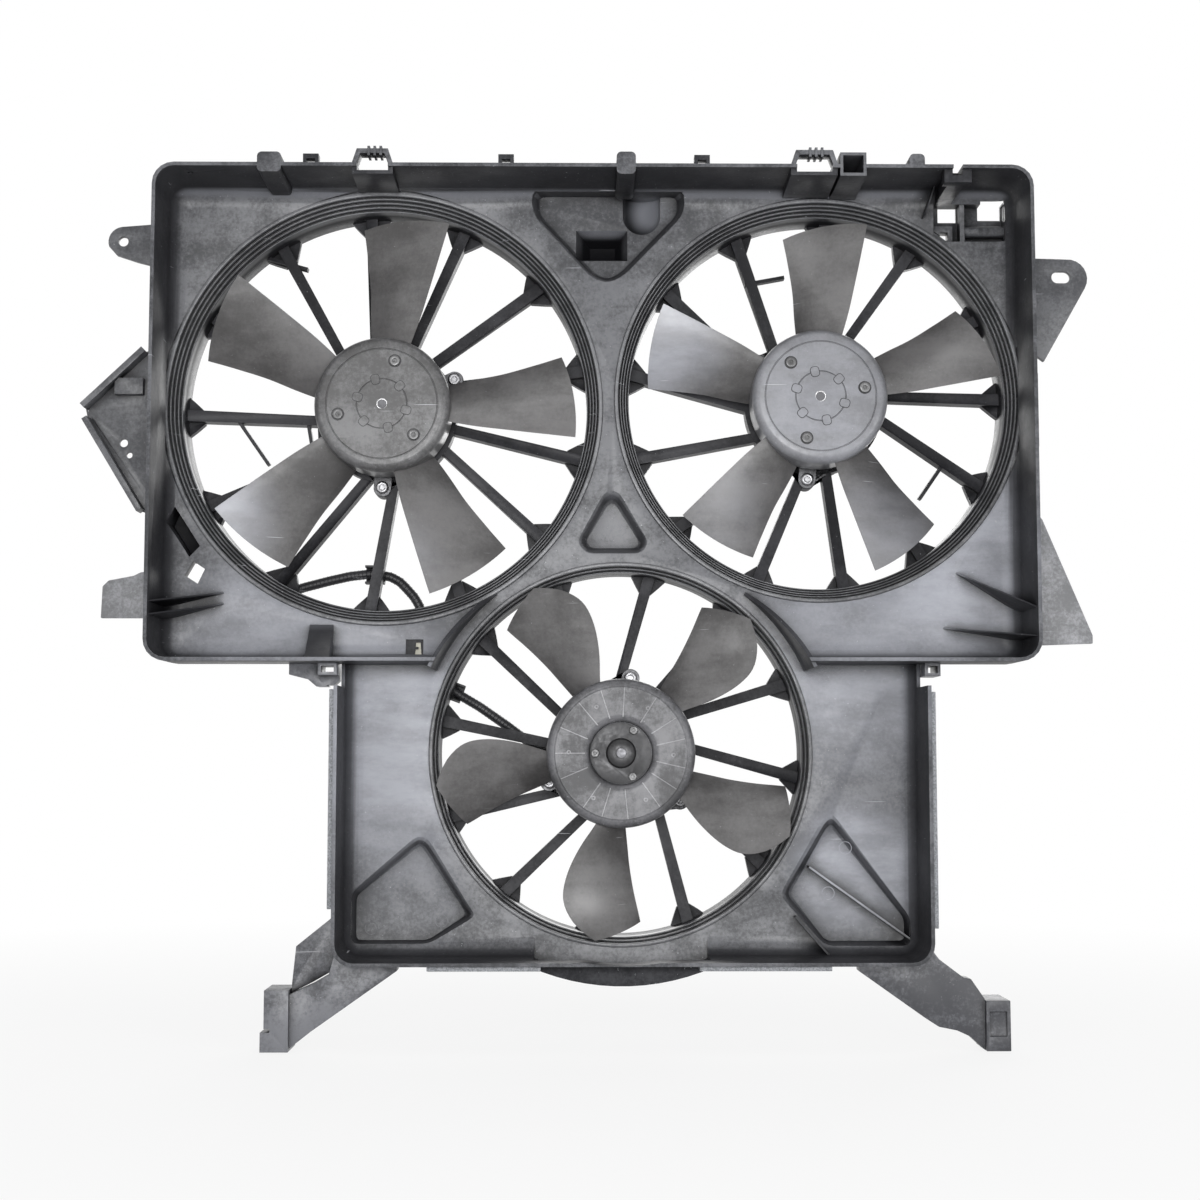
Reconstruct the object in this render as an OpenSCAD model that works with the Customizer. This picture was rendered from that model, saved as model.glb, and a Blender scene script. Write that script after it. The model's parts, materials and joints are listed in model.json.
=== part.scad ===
// Engine cooling fan assembly: one plastic shroud, three stator frames,
// three electric motors and three five-blade fans. Millimetres.
// X across the car, Y towards the engine, Z up.
// Y = 0 is the front rim, Z = 0 its top edge, X = 0 the middle of the upper chamber.

/* [Upper chamber] */
// Width over the side walls
up_w = 736; // [700:1:780]
// Height over the walls
up_h = 416; // [400:1:440]
// Rim to floor, front faces
floor_y = 72; // [60:1:85]
// Thickness of walls and floor
wall = 3; // [2:0.5:4]
// Outer corner radius
corner_r = 15; // [10:1:22]
// Radius between walls and floor
fillet_r = 15; // [8:1:20]

/* [Lower chamber] */
// Middle of the lower chamber
low_x = 32; // [20:1:44]
// Width over the side walls
low_w = 488; // [460:1:520]
// Height below the dividing wall
low_h = 247; // [235:1:260]

/* [Left fan] */
// Axis from the middle
lf_x = -181; // [-184:0.5:-179]
// Axis below the rim
lf_z = -193; // [-196:0.5:-190]
// Bell mouth outer radius
lf_bell = 189.5; // [186:0.5:191]
// Barrel inner radius
lf_barrel = 175.5; // [173:0.5:178]
// Blade tip radius
lf_tip = 168; // [160:0.5:170]

/* [Right fan] */
// Axis from the middle
rf_x = 195; // [193:0.5:198]
// Axis below the rim
rf_z = -185.5; // [-188:0.5:-183]
// Bell mouth outer radius
rf_bell = 177; // [174:0.5:179]
// Barrel inner radius
rf_barrel = 164; // [161:0.5:166]
// Blade tip radius
rf_tip = 157; // [150:0.5:158]

/* [Lower fan] */
// Axis from the middle
df_x = 23.5; // [21:0.5:26]
// Axis below the rim
df_z = -491; // [-493:0.5:-489]
// Bell mouth outer radius
df_bell = 163.5; // [161:0.5:165]
// Barrel inner radius
df_barrel = 155.5; // [153:0.5:157]
// Blade tip radius
df_tip = 158; // [152:0.5:158.5]

/* [Fans and motors] */
// Hub radius of the two upper fans
hub_r = 58.5; // [54:0.5:60]
// Hub radius of the lower fan
hub_low_r = 63; // [60:0.5:66]
// Front face of the hubs
hub_y = 56; // [52:1:60]
// Back edge of the hubs
hub_back = 92; // [86:1:95]
// Thickness of a blade
blade_t = 2.6; // [1.8:0.2:3.2]
// Motor can radius
can_r = 49; // [44:0.5:50]
// Motor shaft radius
shaft_r = 4; // [3:0.25:5]
// Radial clearance of shaft in bearing
run_gap = 0.05; // [0.02:0.01:0.08]

/* [Stators] */
// Rear edge of the barrels
barrel_back = 122; // [116:1:126]
// Front face of the arms
arm_y = 106; // [102:1:110]
// Width of an arm
arm_w = 10; // [7:0.5:11]
// Screw circle of the motors
lug_r = 66; // [62:0.5:68]

/* [Harness] */
// Radius of the cable conduits
cord_r = 4.5; // [3:0.25:4.5]

/* [Feet] */
// Front face of the foot arms
foot_y = 37; // [30:1:37]

/* [Hidden] */
$fn = 72;
eps = 0.01;
xl = -up_w / 2;
xr = up_w / 2;
ll = low_x - low_w / 2;
lr = low_x + low_w / 2;
zb = -up_h;
zl = -up_h - low_h;
back_y = floor_y + wall;
arm_back = arm_y + 15;
cord_y = barrel_back + cord_r + 0.3;
cord_bend = 18;
carrier_y = 105.5;
carrier_in = can_r + 3;
carrier_out = can_r + 12;
div_r = df_bell + 8;
flange_t = 1.5;
// half widths of the round room at the lower wall, and of the swelling below it
low_gap = div_r > df_z - zl ? sqrt(pow(div_r, 2) - pow(df_z - zl, 2)) : 0;
swell = max(76, low_gap + 12);
dark = [0.17, 0.17, 0.18];
grey = [0.27, 0.27, 0.28];
steel = [0.62, 0.63, 0.65];

// per fan: x, z, bell radius, barrel radius, tip radius, hub radius, screw phase
FAN = [
  [lf_x, lf_z, lf_bell, lf_barrel, lf_tip, hub_r, 27],
  [rf_x, rf_z, rf_bell, rf_barrel, rf_tip, hub_r, 24],
  [df_x, df_z, df_bell, df_barrel, df_tip, hub_low_r, 82]
];
// blade angles of the three fans
BLADES = [
  [4, 84, 151.5, 226, 298],
  [-59.5, 20.5, 88, 162.5, 234.5],
  [46.5, 118.5, 190.5, 262.5, 334.5]
];
// stator arms: angle at the barrel, angle at the motor ring
ARMS = [
  [[12.6, 24], [40.2, 48.5], [67.5, 70], [95, 101], [122.3, 129], [151, 158], [180.5, 186],
   [208, 217], [238.2, 254], [265.6, 277], [292, 301], [320.9, 327.7], [346.5, 347]],
  [[2.2, 9], [28, 36], [57.8, 64], [86, 94], [114.4, 125], [142, 152], [170.1, 181], [196.7, 208],
   [222, 233], [251.9, 260.6], [278.7, 280], [305, 315], [333.9, 349]],
  [[22.6, 32], [52.3, 58.5], [80.5, 91], [111, 119], [140.4, 147], [169.6, 172], [200.5, 213],
   [230.2, 241], [261, 272], [292, 304], [322, 333], [352.2, 365]]
];
// screws of the upper hubs
HUB_SCREWS = [[73.6, 194, 315.6], [131.4, 10.8, 251.4], [61, 180, 296.4]];

// helpers
module slab(y0, h) {
  translate([0, y0, 0]) rotate([90, 0, 0]) mirror([0, 0, 1]) linear_extrude(h) children();
}

module ycyl(y0, h, r) {
  translate([0, y0, 0]) rotate([-90, 0, 0]) cylinder(h = h, r = r);
}

// plate of thickness w in the X-Y plane, centred on Z = 0
module slab_x(w) {
  translate([0, 0, -w / 2]) linear_extrude(w) children();
}

// revolves a profile of [radius, y] points about the Y axis
module spin(points) {
  rotate([-90, 0, 0]) rotate_extrude() polygon(points);
}

module at(i) {
  translate([FAN[i][0], 0, FAN[i][1]]) children();
}

function arc(cx, cy, r, a0, a1, n) =
  [for (k = [0:n]) [cx + r * cos(a0 + (a1 - a0) * k / n), cy + r * sin(a0 + (a1 - a0) * k / n)]];

// rounded rectangle as a list of points, anticlockwise
function rrect(x0, z0, x1, z1, r, n) = concat(
  arc(x1 - r, z0 + r, r, -90, 0, n), arc(x1 - r, z1 - r, r, 0, 90, n),
  arc(x0 + r, z1 - r, r, 90, 180, n), arc(x0 + r, z0 + r, r, 180, 270, n));

function place(points, y) = [for (p = points) [p[0], y, p[1]]];

// solid through a list of rings with equal point counts
module loft(rings) {
  n = len(rings[0]);
  m = len(rings);
  pts = [for (r = rings) for (p = r) p];
  sides = [for (j = [0:m - 2]) for (k = [0:n - 1])
    [j * n + k, j * n + (k + 1) % n, (j + 1) * n + (k + 1) % n, (j + 1) * n + k]];
  tris = [for (f = sides) for (t = [[f[0], f[1], f[2]], [f[0], f[2], f[3]]]) t];
  caps = [[for (k = [0:n - 1]) n - 1 - k], [for (k = [0:n - 1]) (m - 1) * n + k]];
  polyhedron(points = pts, faces = concat(tris, caps));
}

// tub with rounded corners and a rounded foot, e = inset, yf = end face, rf = foot radius
module tub(x0, z0, x1, z1, e, y0, yf, rf, r) {
  n = 5;
  rings = concat(
    [place(rrect(x0 + e, z0 + e, x1 - e, z1 - e, r - e, n), y0)],
    [for (k = [0:n]) let (g = e + rf * (1 - cos(90 * k / n)), rr = max(r - e - g + e, 3) + 0.001 * k)
      place(rrect(x0 + g, z0 + g, x1 - g, z1 - g, rr, n), yf - rf + rf * sin(90 * k / n))]);
  loft(rings);
}

// outline with rounded corners: d = how far each round runs along the sides
function softer(p, d, n = 3) = [for (i = [0:len(p) - 1])
  let (v = p[i], a = p[(i + len(p) - 1) % len(p)] - v, b = p[(i + 1) % len(p)] - v,
    s = v + min(d / norm(a), 0.46) * a, e = v + min(d / norm(b), 0.46) * b)
  each [for (k = [0:n]) let (t = k / n) (1 - t) * (1 - t) * s + 2 * t * (1 - t) * v + t * t * e]];

// recess with soft sides from outline a in the floor to outline b at its bottom
module sink(a, b, d) {
  pa = softer(a, d);
  pb = softer(b, d * 0.7);
  loft(concat([place(pa, floor_y - 8)], [for (t = [0, 0.3, 0.7, 1])
    place((1 - t) * pa + t * pb,
      floor_y + sink_d * (t < 0.5 ? 1.6 * t * t : 1 - 1.6 * (1 - t) * (1 - t)))]));
}

// outlines of the four recesses, front and bottom
TOP_A = [[12, -84], [26, -78], [79, -23], [80, -3], [-54, -3], [-53, -23], [-2, -79]];
TOP_B = [[12, -77], [22, -73], [73, -20], [73.5, -4], [-47.5, -4], [-46.5, -20], [2, -73]];
MID_A = [[41, -320], [48, -311], [23, -268], [16, -265], [9, -268], [-14, -310], [-6, -320]];
MID_B = [[37, -314], [40, -309], [20, -277], [16, -274.5], [12.5, -277], [-6, -308], [-2, -314]];
function low_left() = [[ll + 74, zl + 12], [ll + 113, zl + 35], [ll + 108, zl + 42], [ll + 73, zl + 99],
  [ll + 66, zl + 102], [ll + 60, zl + 100], [ll + 8, zl + 55], [ll + 8, zl + 12]];
function low_left_b() = [[ll + 72, zl + 14], [ll + 104, zl + 35], [ll + 101, zl + 41], [ll + 68, zl + 90],
  [ll + 65, zl + 93], [ll + 61, zl + 91], [ll + 11, zl + 51], [ll + 11, zl + 14]];
function low_right() = [[lr - 80, zl + 10], [lr - 8, zl + 10], [lr - 8, zl + 34], [lr - 70, zl + 118],
  [lr - 75, zl + 121], [lr - 81, zl + 116], [lr - 116, zl + 56], [lr - 116, zl + 50]];
function low_right_b() = [[lr - 78, zl + 13], [lr - 11, zl + 13], [lr - 11, zl + 32], [lr - 70, zl + 106],
  [lr - 72, zl + 108], [lr - 75, zl + 105], [lr - 107, zl + 55], [lr - 106, zl + 50]];
sink_d = 12;
bulge = 6;
low_bulge_r = 190;
pocket_y = 115;
scoop_r = 16.6;
slot_d = 26;
// corners of the blind slot and the square socket, from the left wall and the left fan's axis
SLOT = [[9.6, -87.4], [3.6, -101.5], [22, -130.4], [31.1, -121]];
SOCKET = [[25.4, -133.9], [35.7, -140.8], [29.6, -153.7], [18.3, -146.4]];
// corners of such an opening, enlarged about its middle
function grown(q, f) = let (m = (q[0] + q[1] + q[2] + q[3]) / 4)
  [for (v = q) [xl + m[0] + f * (v[0] - m[0]), lf_z + m[1] + f * (v[1] - m[1])]];
function frame_at(x, z, w, h) = [[x - w, z - h], [x + w, z - h], [x + w, z + h], [x - w, z + h]];

// outer solid and inner room of the two chambers
module chamber_outer() {
  tub(xl, zb, xr, 0, 0, 0, back_y, fillet_r + wall, corner_r + wall);
  tub(ll, zl, lr, zb + 30, 0, 0, back_y, fillet_r + wall, corner_r + wall);
  translate([ll + 20, 40, zb - 22]) cube([low_w - 40, back_y - 40, 44]);
  for (s = [TOP_A, MID_A, low_left(), low_right()])
    slab(back_y - 12, sink_d + 12) polygon(s);
  translate([-54, back_y - 12, -10]) cube([134, sink_d + 12, 10]);
  // pocket and scoop of the top recess, from behind
  translate([-18, back_y, -64]) cube([51, pocket_y - back_y, 33]);
  intersection() {
    translate([42.4, floor_y + sink_d + 2, -21]) {
      cylinder(h = 21, r = scoop_r + wall);
      sphere(scoop_r + wall);
    }
    translate([0, floor_y + 1, -60]) cube([80, 60, 60]);
  }
  // blind slot and square socket in the lower left of the upper chamber, from behind
  slab(floor_y - 18, slot_d + 20) polygon(grown(SLOT, 1.16));
  slab(back_y - 1, 11) polygon(grown(SOCKET, 1.28));
  // recess of the two windows, from behind
  translate([xr - 74, back_y - 1, -49]) cube([68, sink_d + 1, 38]);
  // swellings of the side walls round the upper bell mouths
  for (k = [0:1])
    slab(floor_y - 24, 24) polygon(k == 0
      ? [[xl + 1, lf_z - 46], [xl, lf_z - 46], [xl - bulge, lf_z - 40], [xl - bulge, lf_z + 40],
         [xl, lf_z + 46], [xl + 1, lf_z + 46]]
      : [[xr - 1, rf_z - 50], [xr + 2 * bulge, rf_z - 45], [xr + 2 * bulge, rf_z + 18],
         [xr + bulge, rf_z + 40],
         [xr - 1, rf_z + 46]]);
  // swelling of the floor of the lower chamber below its bell mouth
  translate([df_x, 0, df_z]) slab(22, back_y - 22) intersection() {
    circle(low_bulge_r);
    translate([-swell, -220]) square([2 * swell, zl - df_z + 252]);
  }
}

module chamber_room() {
  tub(xl, zb, xr, 0, wall, -1, floor_y, fillet_r, corner_r + wall);
  intersection() {
    tub(ll, zl, lr, zb + 40, wall, -1, floor_y, fillet_r, corner_r + wall);
    translate([ll, -2, zl]) cube([low_w, floor_y + 4, zb - zl]);
  }
  sink(TOP_A, TOP_B, 9);
  sink(MID_A, MID_B, 6);
  sink(low_left(), low_left_b(), 7);
  sink(low_right(), low_right_b(), 7);
  translate([df_x, 0, df_z]) ycyl(-1, floor_y + 1, div_r);
  translate([xr - 71, floor_y - 3, -46]) cube([62, sink_d + 3, 33]);
  translate([df_x, 0, df_z]) slab(22 + wall, floor_y - 22 - wall) intersection() {
    circle(low_bulge_r - wall);
    translate([wall - swell, -220]) square([2 * (swell - wall), zl - df_z + 262]);
  }
  loft([place(frame_at(7.5, -47.5, 22.5, 13.5), floor_y),
    place(frame_at(7.5, -47.5, 22.5, 13.5), floor_y + sink_d),
    place(frame_at(8.5, -47.5, 11, 5), pocket_y - wall)]);
  translate([42.4, floor_y + sink_d + 2, -21]) {
    cylinder(h = 21 - wall, r = scoop_r);
    sphere(scoop_r);
  }
}

// low wall that carries the divider round the lower bell mouth
module divider_arc() {
  n = 14;
  for (a = [[24, 52], [156, 128]])
    translate([df_x, 0, df_z]) loft([for (k = [0:n])
      let (g = a[0] + (a[1] - a[0]) * k / n, y0 = floor_y * 0.98 * pow(k / n, 1.4), c = cos(g), d = sin(g),
        r0 = div_r * [c, d], r1 = (div_r + wall) * [c, d],
        ring = [[r0[0], y0, r0[1]], [r1[0], y0, r1[1]], [r1[0], back_y - 1, r1[1]],
          [r0[0], back_y - 1, r0[1]]])
      a[0] < 90 ? flip(ring) : ring]);
}

// gusset from the front of a side wall at z0 down to the floor at x, z
module gusset(x0, z0, x, z, t) {
  n = t / 2 * [-(z - z0), x - x0] / norm([x - x0, z - z0]);
  loft([for (s = [-1, 1]) [[x0 + s * n[0], 3, z0 + s * n[1]], [x0 + s * n[0], floor_y + 1, z0 + s * n[1]],
    [x + s * n[0], floor_y + 1, z + s * n[1]]]]);
}

module rib(x0, z0, x1, z1, t, y0, y1) {
  l = sqrt(pow(x1 - x0, 2) + pow(z1 - z0, 2));
  a = atan2(z1 - z0, x1 - x0);
  slab(y0, y1 - y0) translate([x0, z0]) rotate(a) translate([0, -t / 2]) square([l, t]);
}

// post from the front plane back to y, width w from x0, between heights z0 and z1
module post(x0, w, z0, z1, y) {
  r = 4;
  down = z0 < -5;
  slab(0, y) {
    translate([x0, down ? z0 + r : z0]) square([w, z1 - z0 - r]);
    for (x = [x0 + r, x0 + w - r])
      translate([x, down ? z0 + r : z1 - r]) circle(r);
    translate([x0 + r, z0]) square([w - 2 * r, z1 - z0]);
  }
}

module shroud() color(dark) difference() {
  union() {
    difference() {
      chamber_outer();
      chamber_room();
    }
    divider_arc();
    // posts, trough and socket on the inside of the top wall
    post(-281, 20, -8, -0.5, floor_y + 1);
    post(19, 16, -9, -0.5, floor_y + 1);
    translate([-202, 2, -9]) cube([34, floor_y - 1, 9]);
    translate([165, 2, -9]) cube([39, floor_y - 1, 9]);
    translate([206, 0, -10]) cube([22, floor_y - 1, 10]);
    translate([xr - 74, 4, -14]) cube([23, 12, 11]);
    translate([xr - 70, 10, -14]) cube([14, floor_y - 10, 11]);
    // stiffening ribs
    gusset(xl + 1, zb + 49, xl + 53, zb + 62, 1.2);
    gusset(xl + 1, zb + 38, xl + 53, zb + 52.5, 1.2);
    gusset(xr - 1, zb + 44, xr - 57, zb + 80, 1.2);
    gusset(xr - 1, zb + 21, xr - 69, zb + 32, 1.2);
    // ramp over the strap at the lower wall
    loft([for (x = [ll - 30, ll - 10])
      [[x, floor_y + 1, zb + 35], [x, floor_y + 1, zb + 1], [x + 5, 3, zb + 1]]]);
    rib(lr - 93, zl + 76, lr - wall, zl + 12, 1.6, floor_y - 2, floor_y + sink_d);
    rib(lr - 106, zl + 35, lr - 78, zl + 3, 1.6, floor_y - 12, floor_y + sink_d);
    rib(xr - 81, -26, xr - 73, -2, 1.4, floor_y - 20, floor_y + 1);
    // slat and bar in the recess of the windows
    translate([xr - 48, floor_y, -47]) cube([4, sink_d + 2, 34]);
    translate([xr - 45, floor_y + 7, -36]) rotate([0, 90, 0]) cylinder(h = 37, r = 5.5);
    translate([xr - 70, floor_y + 3, -46.5]) cube([16, sink_d, 15]);
  }
  // notches where the side walls of the lower chamber meet the upper one
  for (x = [ll - 1, lr - wall - 1])
    translate([x, -1, zb - 20]) cube([wall + 2, 52, 20]);
  // room for the bell mouths
  for (i = [0:2])
    at(i) ycyl(i == 2 ? -1 : floor_y - fillet_r - 1, back_y + 30, FAN[i][2]);
  // and for the flanges behind the floor
  for (i = [0:2])
    at(i) ycyl(back_y, flange_t + 0.3, FAN[i][2] + 4.3);
  // windows in the floor
  slab(floor_y - 20, slot_d + 19.5) polygon(grown(SLOT, 1));
  slab(floor_y - 5, 24) polygon(grown(SOCKET, 1));
  slab(floor_y - 30, 60) translate([xr - 65, -26]) square([16, 13]);
  slab(floor_y - 30, 60) translate([xr - 30, -24]) square([20, 14]);
  slab(floor_y - 5, 30) translate([xr - 65, -44]) square([7, 7]);
  slab(floor_y - 5, 20) translate([conn_x + 5, zb + 9]) square([15, 13]);
  // trough of the belt loops and the socket
  translate([-198, -1, -6]) cube([26, floor_y + 10, 8]);
  translate([170, -1, -6]) cube([30, floor_y + 10, 8]);
  translate([208.5, -1, -7.5]) cube([17, floor_y - 8, 9]);
  translate([xr - 67, -1, -8]) cube([8, 25, 10]);
  // small holes and the notch above the lower rim
  translate([xl + 28, 20, -5]) cylinder(h = 6, r = 2.4);
  translate([df_x - 3.5, floor_y - 5, zl + 11]) cube([8, 20, 6]);
}

// pieces standing on the outside of the top wall
module top_clips() color(dark) {
  // round ended posts
  post(-281, 20, 0, 9, floor_y - 4);
  post(19, 16, 0, 10, floor_y - 4);
  post(264, 13, 0, 9, floor_y - 4);
  // straps over the troughs, ribbed
  for (s = [[-202, 34], [165, 39]]) {
    slab(0, 14) polygon([[s[0], 0], [s[0] + 4, 0], [s[0] + 7, 8], [s[0] + s[1] - 7, 8],
      [s[0] + s[1] - 4, 0], [s[0] + s[1], 0], [s[0] + s[1] - 4, 12], [s[0] + 4, 12]]);
    for (k = [0:2])
      translate([s[0] + s[1] * 0.38 + 5 * k, -0.5, 6]) cube([2.2, 15, 8]);
  }
  // square socket
  difference() {
    translate([206, 0, 0]) cube([22, 60, 10]);
    translate([208.5, -1, -1]) cube([17, 58, 8.5]);
  }
  // small clips
  for (x = [-243, -80, 84]) {
    difference() {
      translate([x, 2, 0]) cube([13, 10, 8]);
      translate([x + 3, 1, -1]) cube([7, 12, 5]);
    }
  }
}

module bell(i) {
  rb = FAN[i][2];
  ri = FAN[i][3];
  n = 5;
  dr = (rb - 1.2 - ri) / n;
  front = [for (k = [0:n]) for (q = [0:1])
    [rb - 0.3 - (k == 0 && q == 0 ? 0 : 0.9)
        - dr * (q == 0 ? max(k - 1, 0) + (k > 0 ? 1 : 0) : min(k + 1, n)),
     floor_y - 2 + 4 * k]];
  back = [[ri, barrel_back], [ri + wall, barrel_back], [ri + wall, floor_y + 24],
    [rb - 0.3, back_y + flange_t], [rb + 4, back_y + flange_t], [rb + 4, back_y],
    [rb - 0.3, back_y]];
  at(i) spin(concat(front, back));
}

module arms(i) {
  ro = FAN[i][3];
  for (a = ARMS[i]) {
    p = [ro * cos(a[0]), ro * sin(a[0])];
    q = [(carrier_out - 2) * cos(a[1]), (carrier_out - 2) * sin(a[1])];
    d = (q - p) / norm(q - p);
    nrm = [-d[1], d[0]] * arm_w / 2;
    slab(arm_y, 15) polygon([p - d * 0.6 + nrm, p - d * 0.6 - nrm, q - nrm * 0.85, q + nrm * 0.85]);
  }
}

// thin retainers on the arms: two ends each, relative to the axis
HOOKS = [[[-134, -2, -104, -45], [-70, -7, -66, -30], [-60, -8, -59, -26], [-108, 140, -72, 130]],
  [[-60, 110, -25, 116.5], [93, -82, 117, -47]], []];

module hooks(i) {
  for (h = HOOKS[i]) {
    d = [h[2] - h[0], h[3] - h[1]] / norm([h[2] - h[0], h[3] - h[1]]) * 1.5;
    slab(arm_y + 1, 8) polygon([[h[0] + d[1], h[1] - d[0]], [h[2] + d[1], h[3] - d[0]],
      [h[2] - d[1], h[3] + d[0]], [h[0] - d[1], h[1] + d[0]]]);
  }
}

// arms, gussets at the barrel and the ring that carries the motor
module stator(i) {
  ro = FAN[i][3];
  ph = FAN[i][6];
  at(i) difference() {
    union() {
      intersection() {
        union() {
          arms(i);
          hooks(i);
        }
        ycyl(arm_y - 1, 20, ro);
      }
      for (a = ARMS[i])
        slab(arm_back - 8, 8) intersection() {
          circle(ro);
          polygon([[(ro + 9) * cos(a[0] + 7.5), (ro + 9) * sin(a[0] + 7.5)],
            [(ro - 6) * cos(a[0] + 4.5), (ro - 6) * sin(a[0] + 4.5)],
            [(ro - 14) * cos(a[0] + 2.4), (ro - 14) * sin(a[0] + 2.4)],
            [(ro - 14) * cos(a[0] - 1.6), (ro - 14) * sin(a[0] - 1.6)],
            [(ro - 6) * cos(a[0] - 4), (ro - 6) * sin(a[0] - 4)],
            [(ro + 9) * cos(a[0] - 7.5), (ro + 9) * sin(a[0] - 7.5)]]);
        }
      slab(carrier_y, 16.5) circle(carrier_out);
      for (k = [0:2])
        rotate([0, -(ph + 120 * k), 0]) {
          translate([lug_r, 0, 0]) ycyl(carrier_y, 16.5, 8);
          translate([carrier_out - 4, carrier_y, -8]) cube([lug_r - carrier_out + 4, 16.5, 16]);
        }
    }
    ycyl(carrier_y - 1, 20, carrier_in);
    for (k = [0:2])
      rotate([0, -(ph + 120 * k), 0]) translate([lug_r, 0, 0]) ycyl(carrier_y - 1, 15, 3);
  }
}

module motor_can(i) {
  ph = FAN[i][6];
  at(i) {
    spin([[9, 66], [14, 66], [14, 68], [can_r - 3, 68], [can_r, 71], [can_r, 128], [can_r - 2, 128],
      [can_r - 2, 72], [can_r - 4, 70], [12, 70], [12, 72], [9, 72]]);
    difference() {
      union() {
        slab(carrier_y - 2.5, 2.5) difference() {
          circle(can_r + 6);
          circle(can_r);
        }
        for (k = [0:2])
          rotate([0, -(ph + 120 * k), 0]) {
            translate([lug_r, 0, 0]) ycyl(carrier_y - 2.5, 2.5, 7.5);
            translate([can_r + 1, carrier_y - 2.5, -7.5]) cube([lug_r - can_r - 1, 2.5, 15]);
          }
      }
      for (k = [0:2])
        rotate([0, -(ph + 120 * k), 0]) translate([lug_r, 0, 0]) ycyl(carrier_y - 4, 6, 3);
    }
  }
}

module magnets(i) {
  at(i) slab(76, 40) difference() {
    circle(can_r - 2);
    circle(can_r - 11);
    for (k = [0:1])
      rotate(90 * k) translate([-can_r, -3]) square([2 * can_r, 6]);
  }
}

module end_cap(i) {
  // outlet for the leads of the lower motor
  if (i == 2)
    at(i) rotate([0, -176, 0])
      slab_x(14) polygon([[can_r - 9, 130], [can_r - 9, 135], [can_r + 11, 135], [can_r + 11, cord_y - 4],
        [can_r + 0.6, cord_y - 4], [can_r + 0.6, 130]]);
  at(i) spin([[9, 130], [9, 136], [5.5, 136], [5.5, 138], [13, 138], [13, 131.5], [can_r, 131.5],
    [can_r, 128], [16, 128], [16, 130]]);
}

module brushes(i) {
  at(i) for (s = [-1, 1])
    translate([s * 21.7 - 10, 119, -4]) cube([20, 9, 8]);
}

module bearings(i) {
  at(i) for (y = [66, 130])
    spin([[shaft_r + run_gap, y], [9, y], [9, y + 6], [shaft_r + run_gap, y + 6]]);
}

module motor_screws(i) {
  ph = FAN[i][6];
  at(i) for (k = [0:2])
    rotate([0, -(ph + 120 * k), 0]) translate([lug_r, 0, 0]) {
      ycyl(carrier_y - 2.5, 16.5, 3);
      difference() {
        ycyl(carrier_y - 7, 4.5, 5.5);
        ycyl(carrier_y - 8, 3, 2.6);
      }
    }
}

module shaft(i, y0) {
  at(i) ycyl(y0, 138 - y0, shaft_r);
}

module armature(i) {
  at(i) {
    difference() {
      union() {
        ycyl(80, 32, 34);
        ycyl(75, 42, 26);
      }
      ycyl(70, 50, shaft_r);
      for (k = [0:11])
        rotate([0, 30 * k, 0]) translate([28, 79, -1.5]) cube([8, 34, 3]);
    }
  }
}

module commutator(i) {
  at(i) difference() {
    ycyl(117, 10.5, 11);
    ycyl(116, 13, shaft_r);
    for (k = [0:11])
      rotate([0, 30 * k, 0]) translate([9.6, 118, -0.4]) cube([3, 12, 0.8]);
  }
}

// blade section rows: share of the span, front edge angle, back edge angle, front y, back y
UPPER_ROWS = [[0, -18, 18.5, 64, 91], [0.2, -17, 16, 62.5, 90.5], [0.45, -15.5, 13.6, 61, 89.5],
  [0.75, -14.3, 13, 60.5, 88], [1, -13.6, 13, 60.5, 87]];
LOWER_ROWS = [[0, -12, 11.5, 63, 90], [0.2, -15.6, 11.8, 61, 89], [0.4, -16.8, 12, 59.5, 88],
  [0.6, -16, 12.6, 58.5, 87], [0.75, -13.6, 13.2, 58, 86], [0.88, -8.6, 13.8, 57.5, 85.5],
  [0.96, -3.6, 14.1, 57.2, 85.2], [1, -0.6, 14.2, 57, 85]];

function blade_ring(row, r0, r1, r2, n) =
  let (s = row[0], dy = row[4] - row[3],
    mid = [for (k = [0:n]) let (t = k / n, rt = r0 + s * (r1 + (r2 - r1) * t - r0),
      a = row[1] + (row[2] - row[1]) * t, y = row[3] + dy * t - 3.2 * sin(180 * t) * (1 - 0.4 * s))
      [rt, a, y, blade_t * (0.22 + 0.28 * sin(180 * t)), t]],
    chord = r0 * 0.6,
    nx = dy / norm([dy, 40]), ny = 40 / norm([dy, 40]),
    top = [for (m = mid) let (a = m[1] + nx * m[3] / m[0] * 57.3)
      [m[0] * cos(a), m[2] - ny * m[3], m[0] * sin(a)]],
    bot = [for (k = [0:n]) let (m = mid[n - k], a = m[1] - nx * m[3] / m[0] * 57.3)
      [m[0] * cos(a), m[2] + ny * m[3], m[0] * sin(a)]])
  concat(top, bot);

module blades(i, rows, back_drop) {
  for (a = BLADES[i])
    rotate([0, -a, 0]) loft([for (row = rows)
      blade_ring(row, FAN[i][5] - 1.2, FAN[i][4], FAN[i][4] - back_drop, 4)]);
}

// hub cup of an upper fan
module hub_cup(r, rc, depth) {
  spin(concat([[5, hub_y]], [[48.2, hub_y], [48.4, hub_y + 0.7], [49.2, hub_y + 0.7], [49.4, hub_y]],
    [for (k = [0:5]) [r - 8 + 8 * sin(18 * k), hub_y + 8 - 8 * cos(18 * k)]],
    [[r, hub_back], [r - 2.4, hub_back]],
    [for (k = [0:5]) [r - 8 + 5.6 * cos(18 * k), hub_y + 8 - 5.6 * sin(18 * k)]],
    [[5, hub_y + 2.4]]));
}

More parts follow.
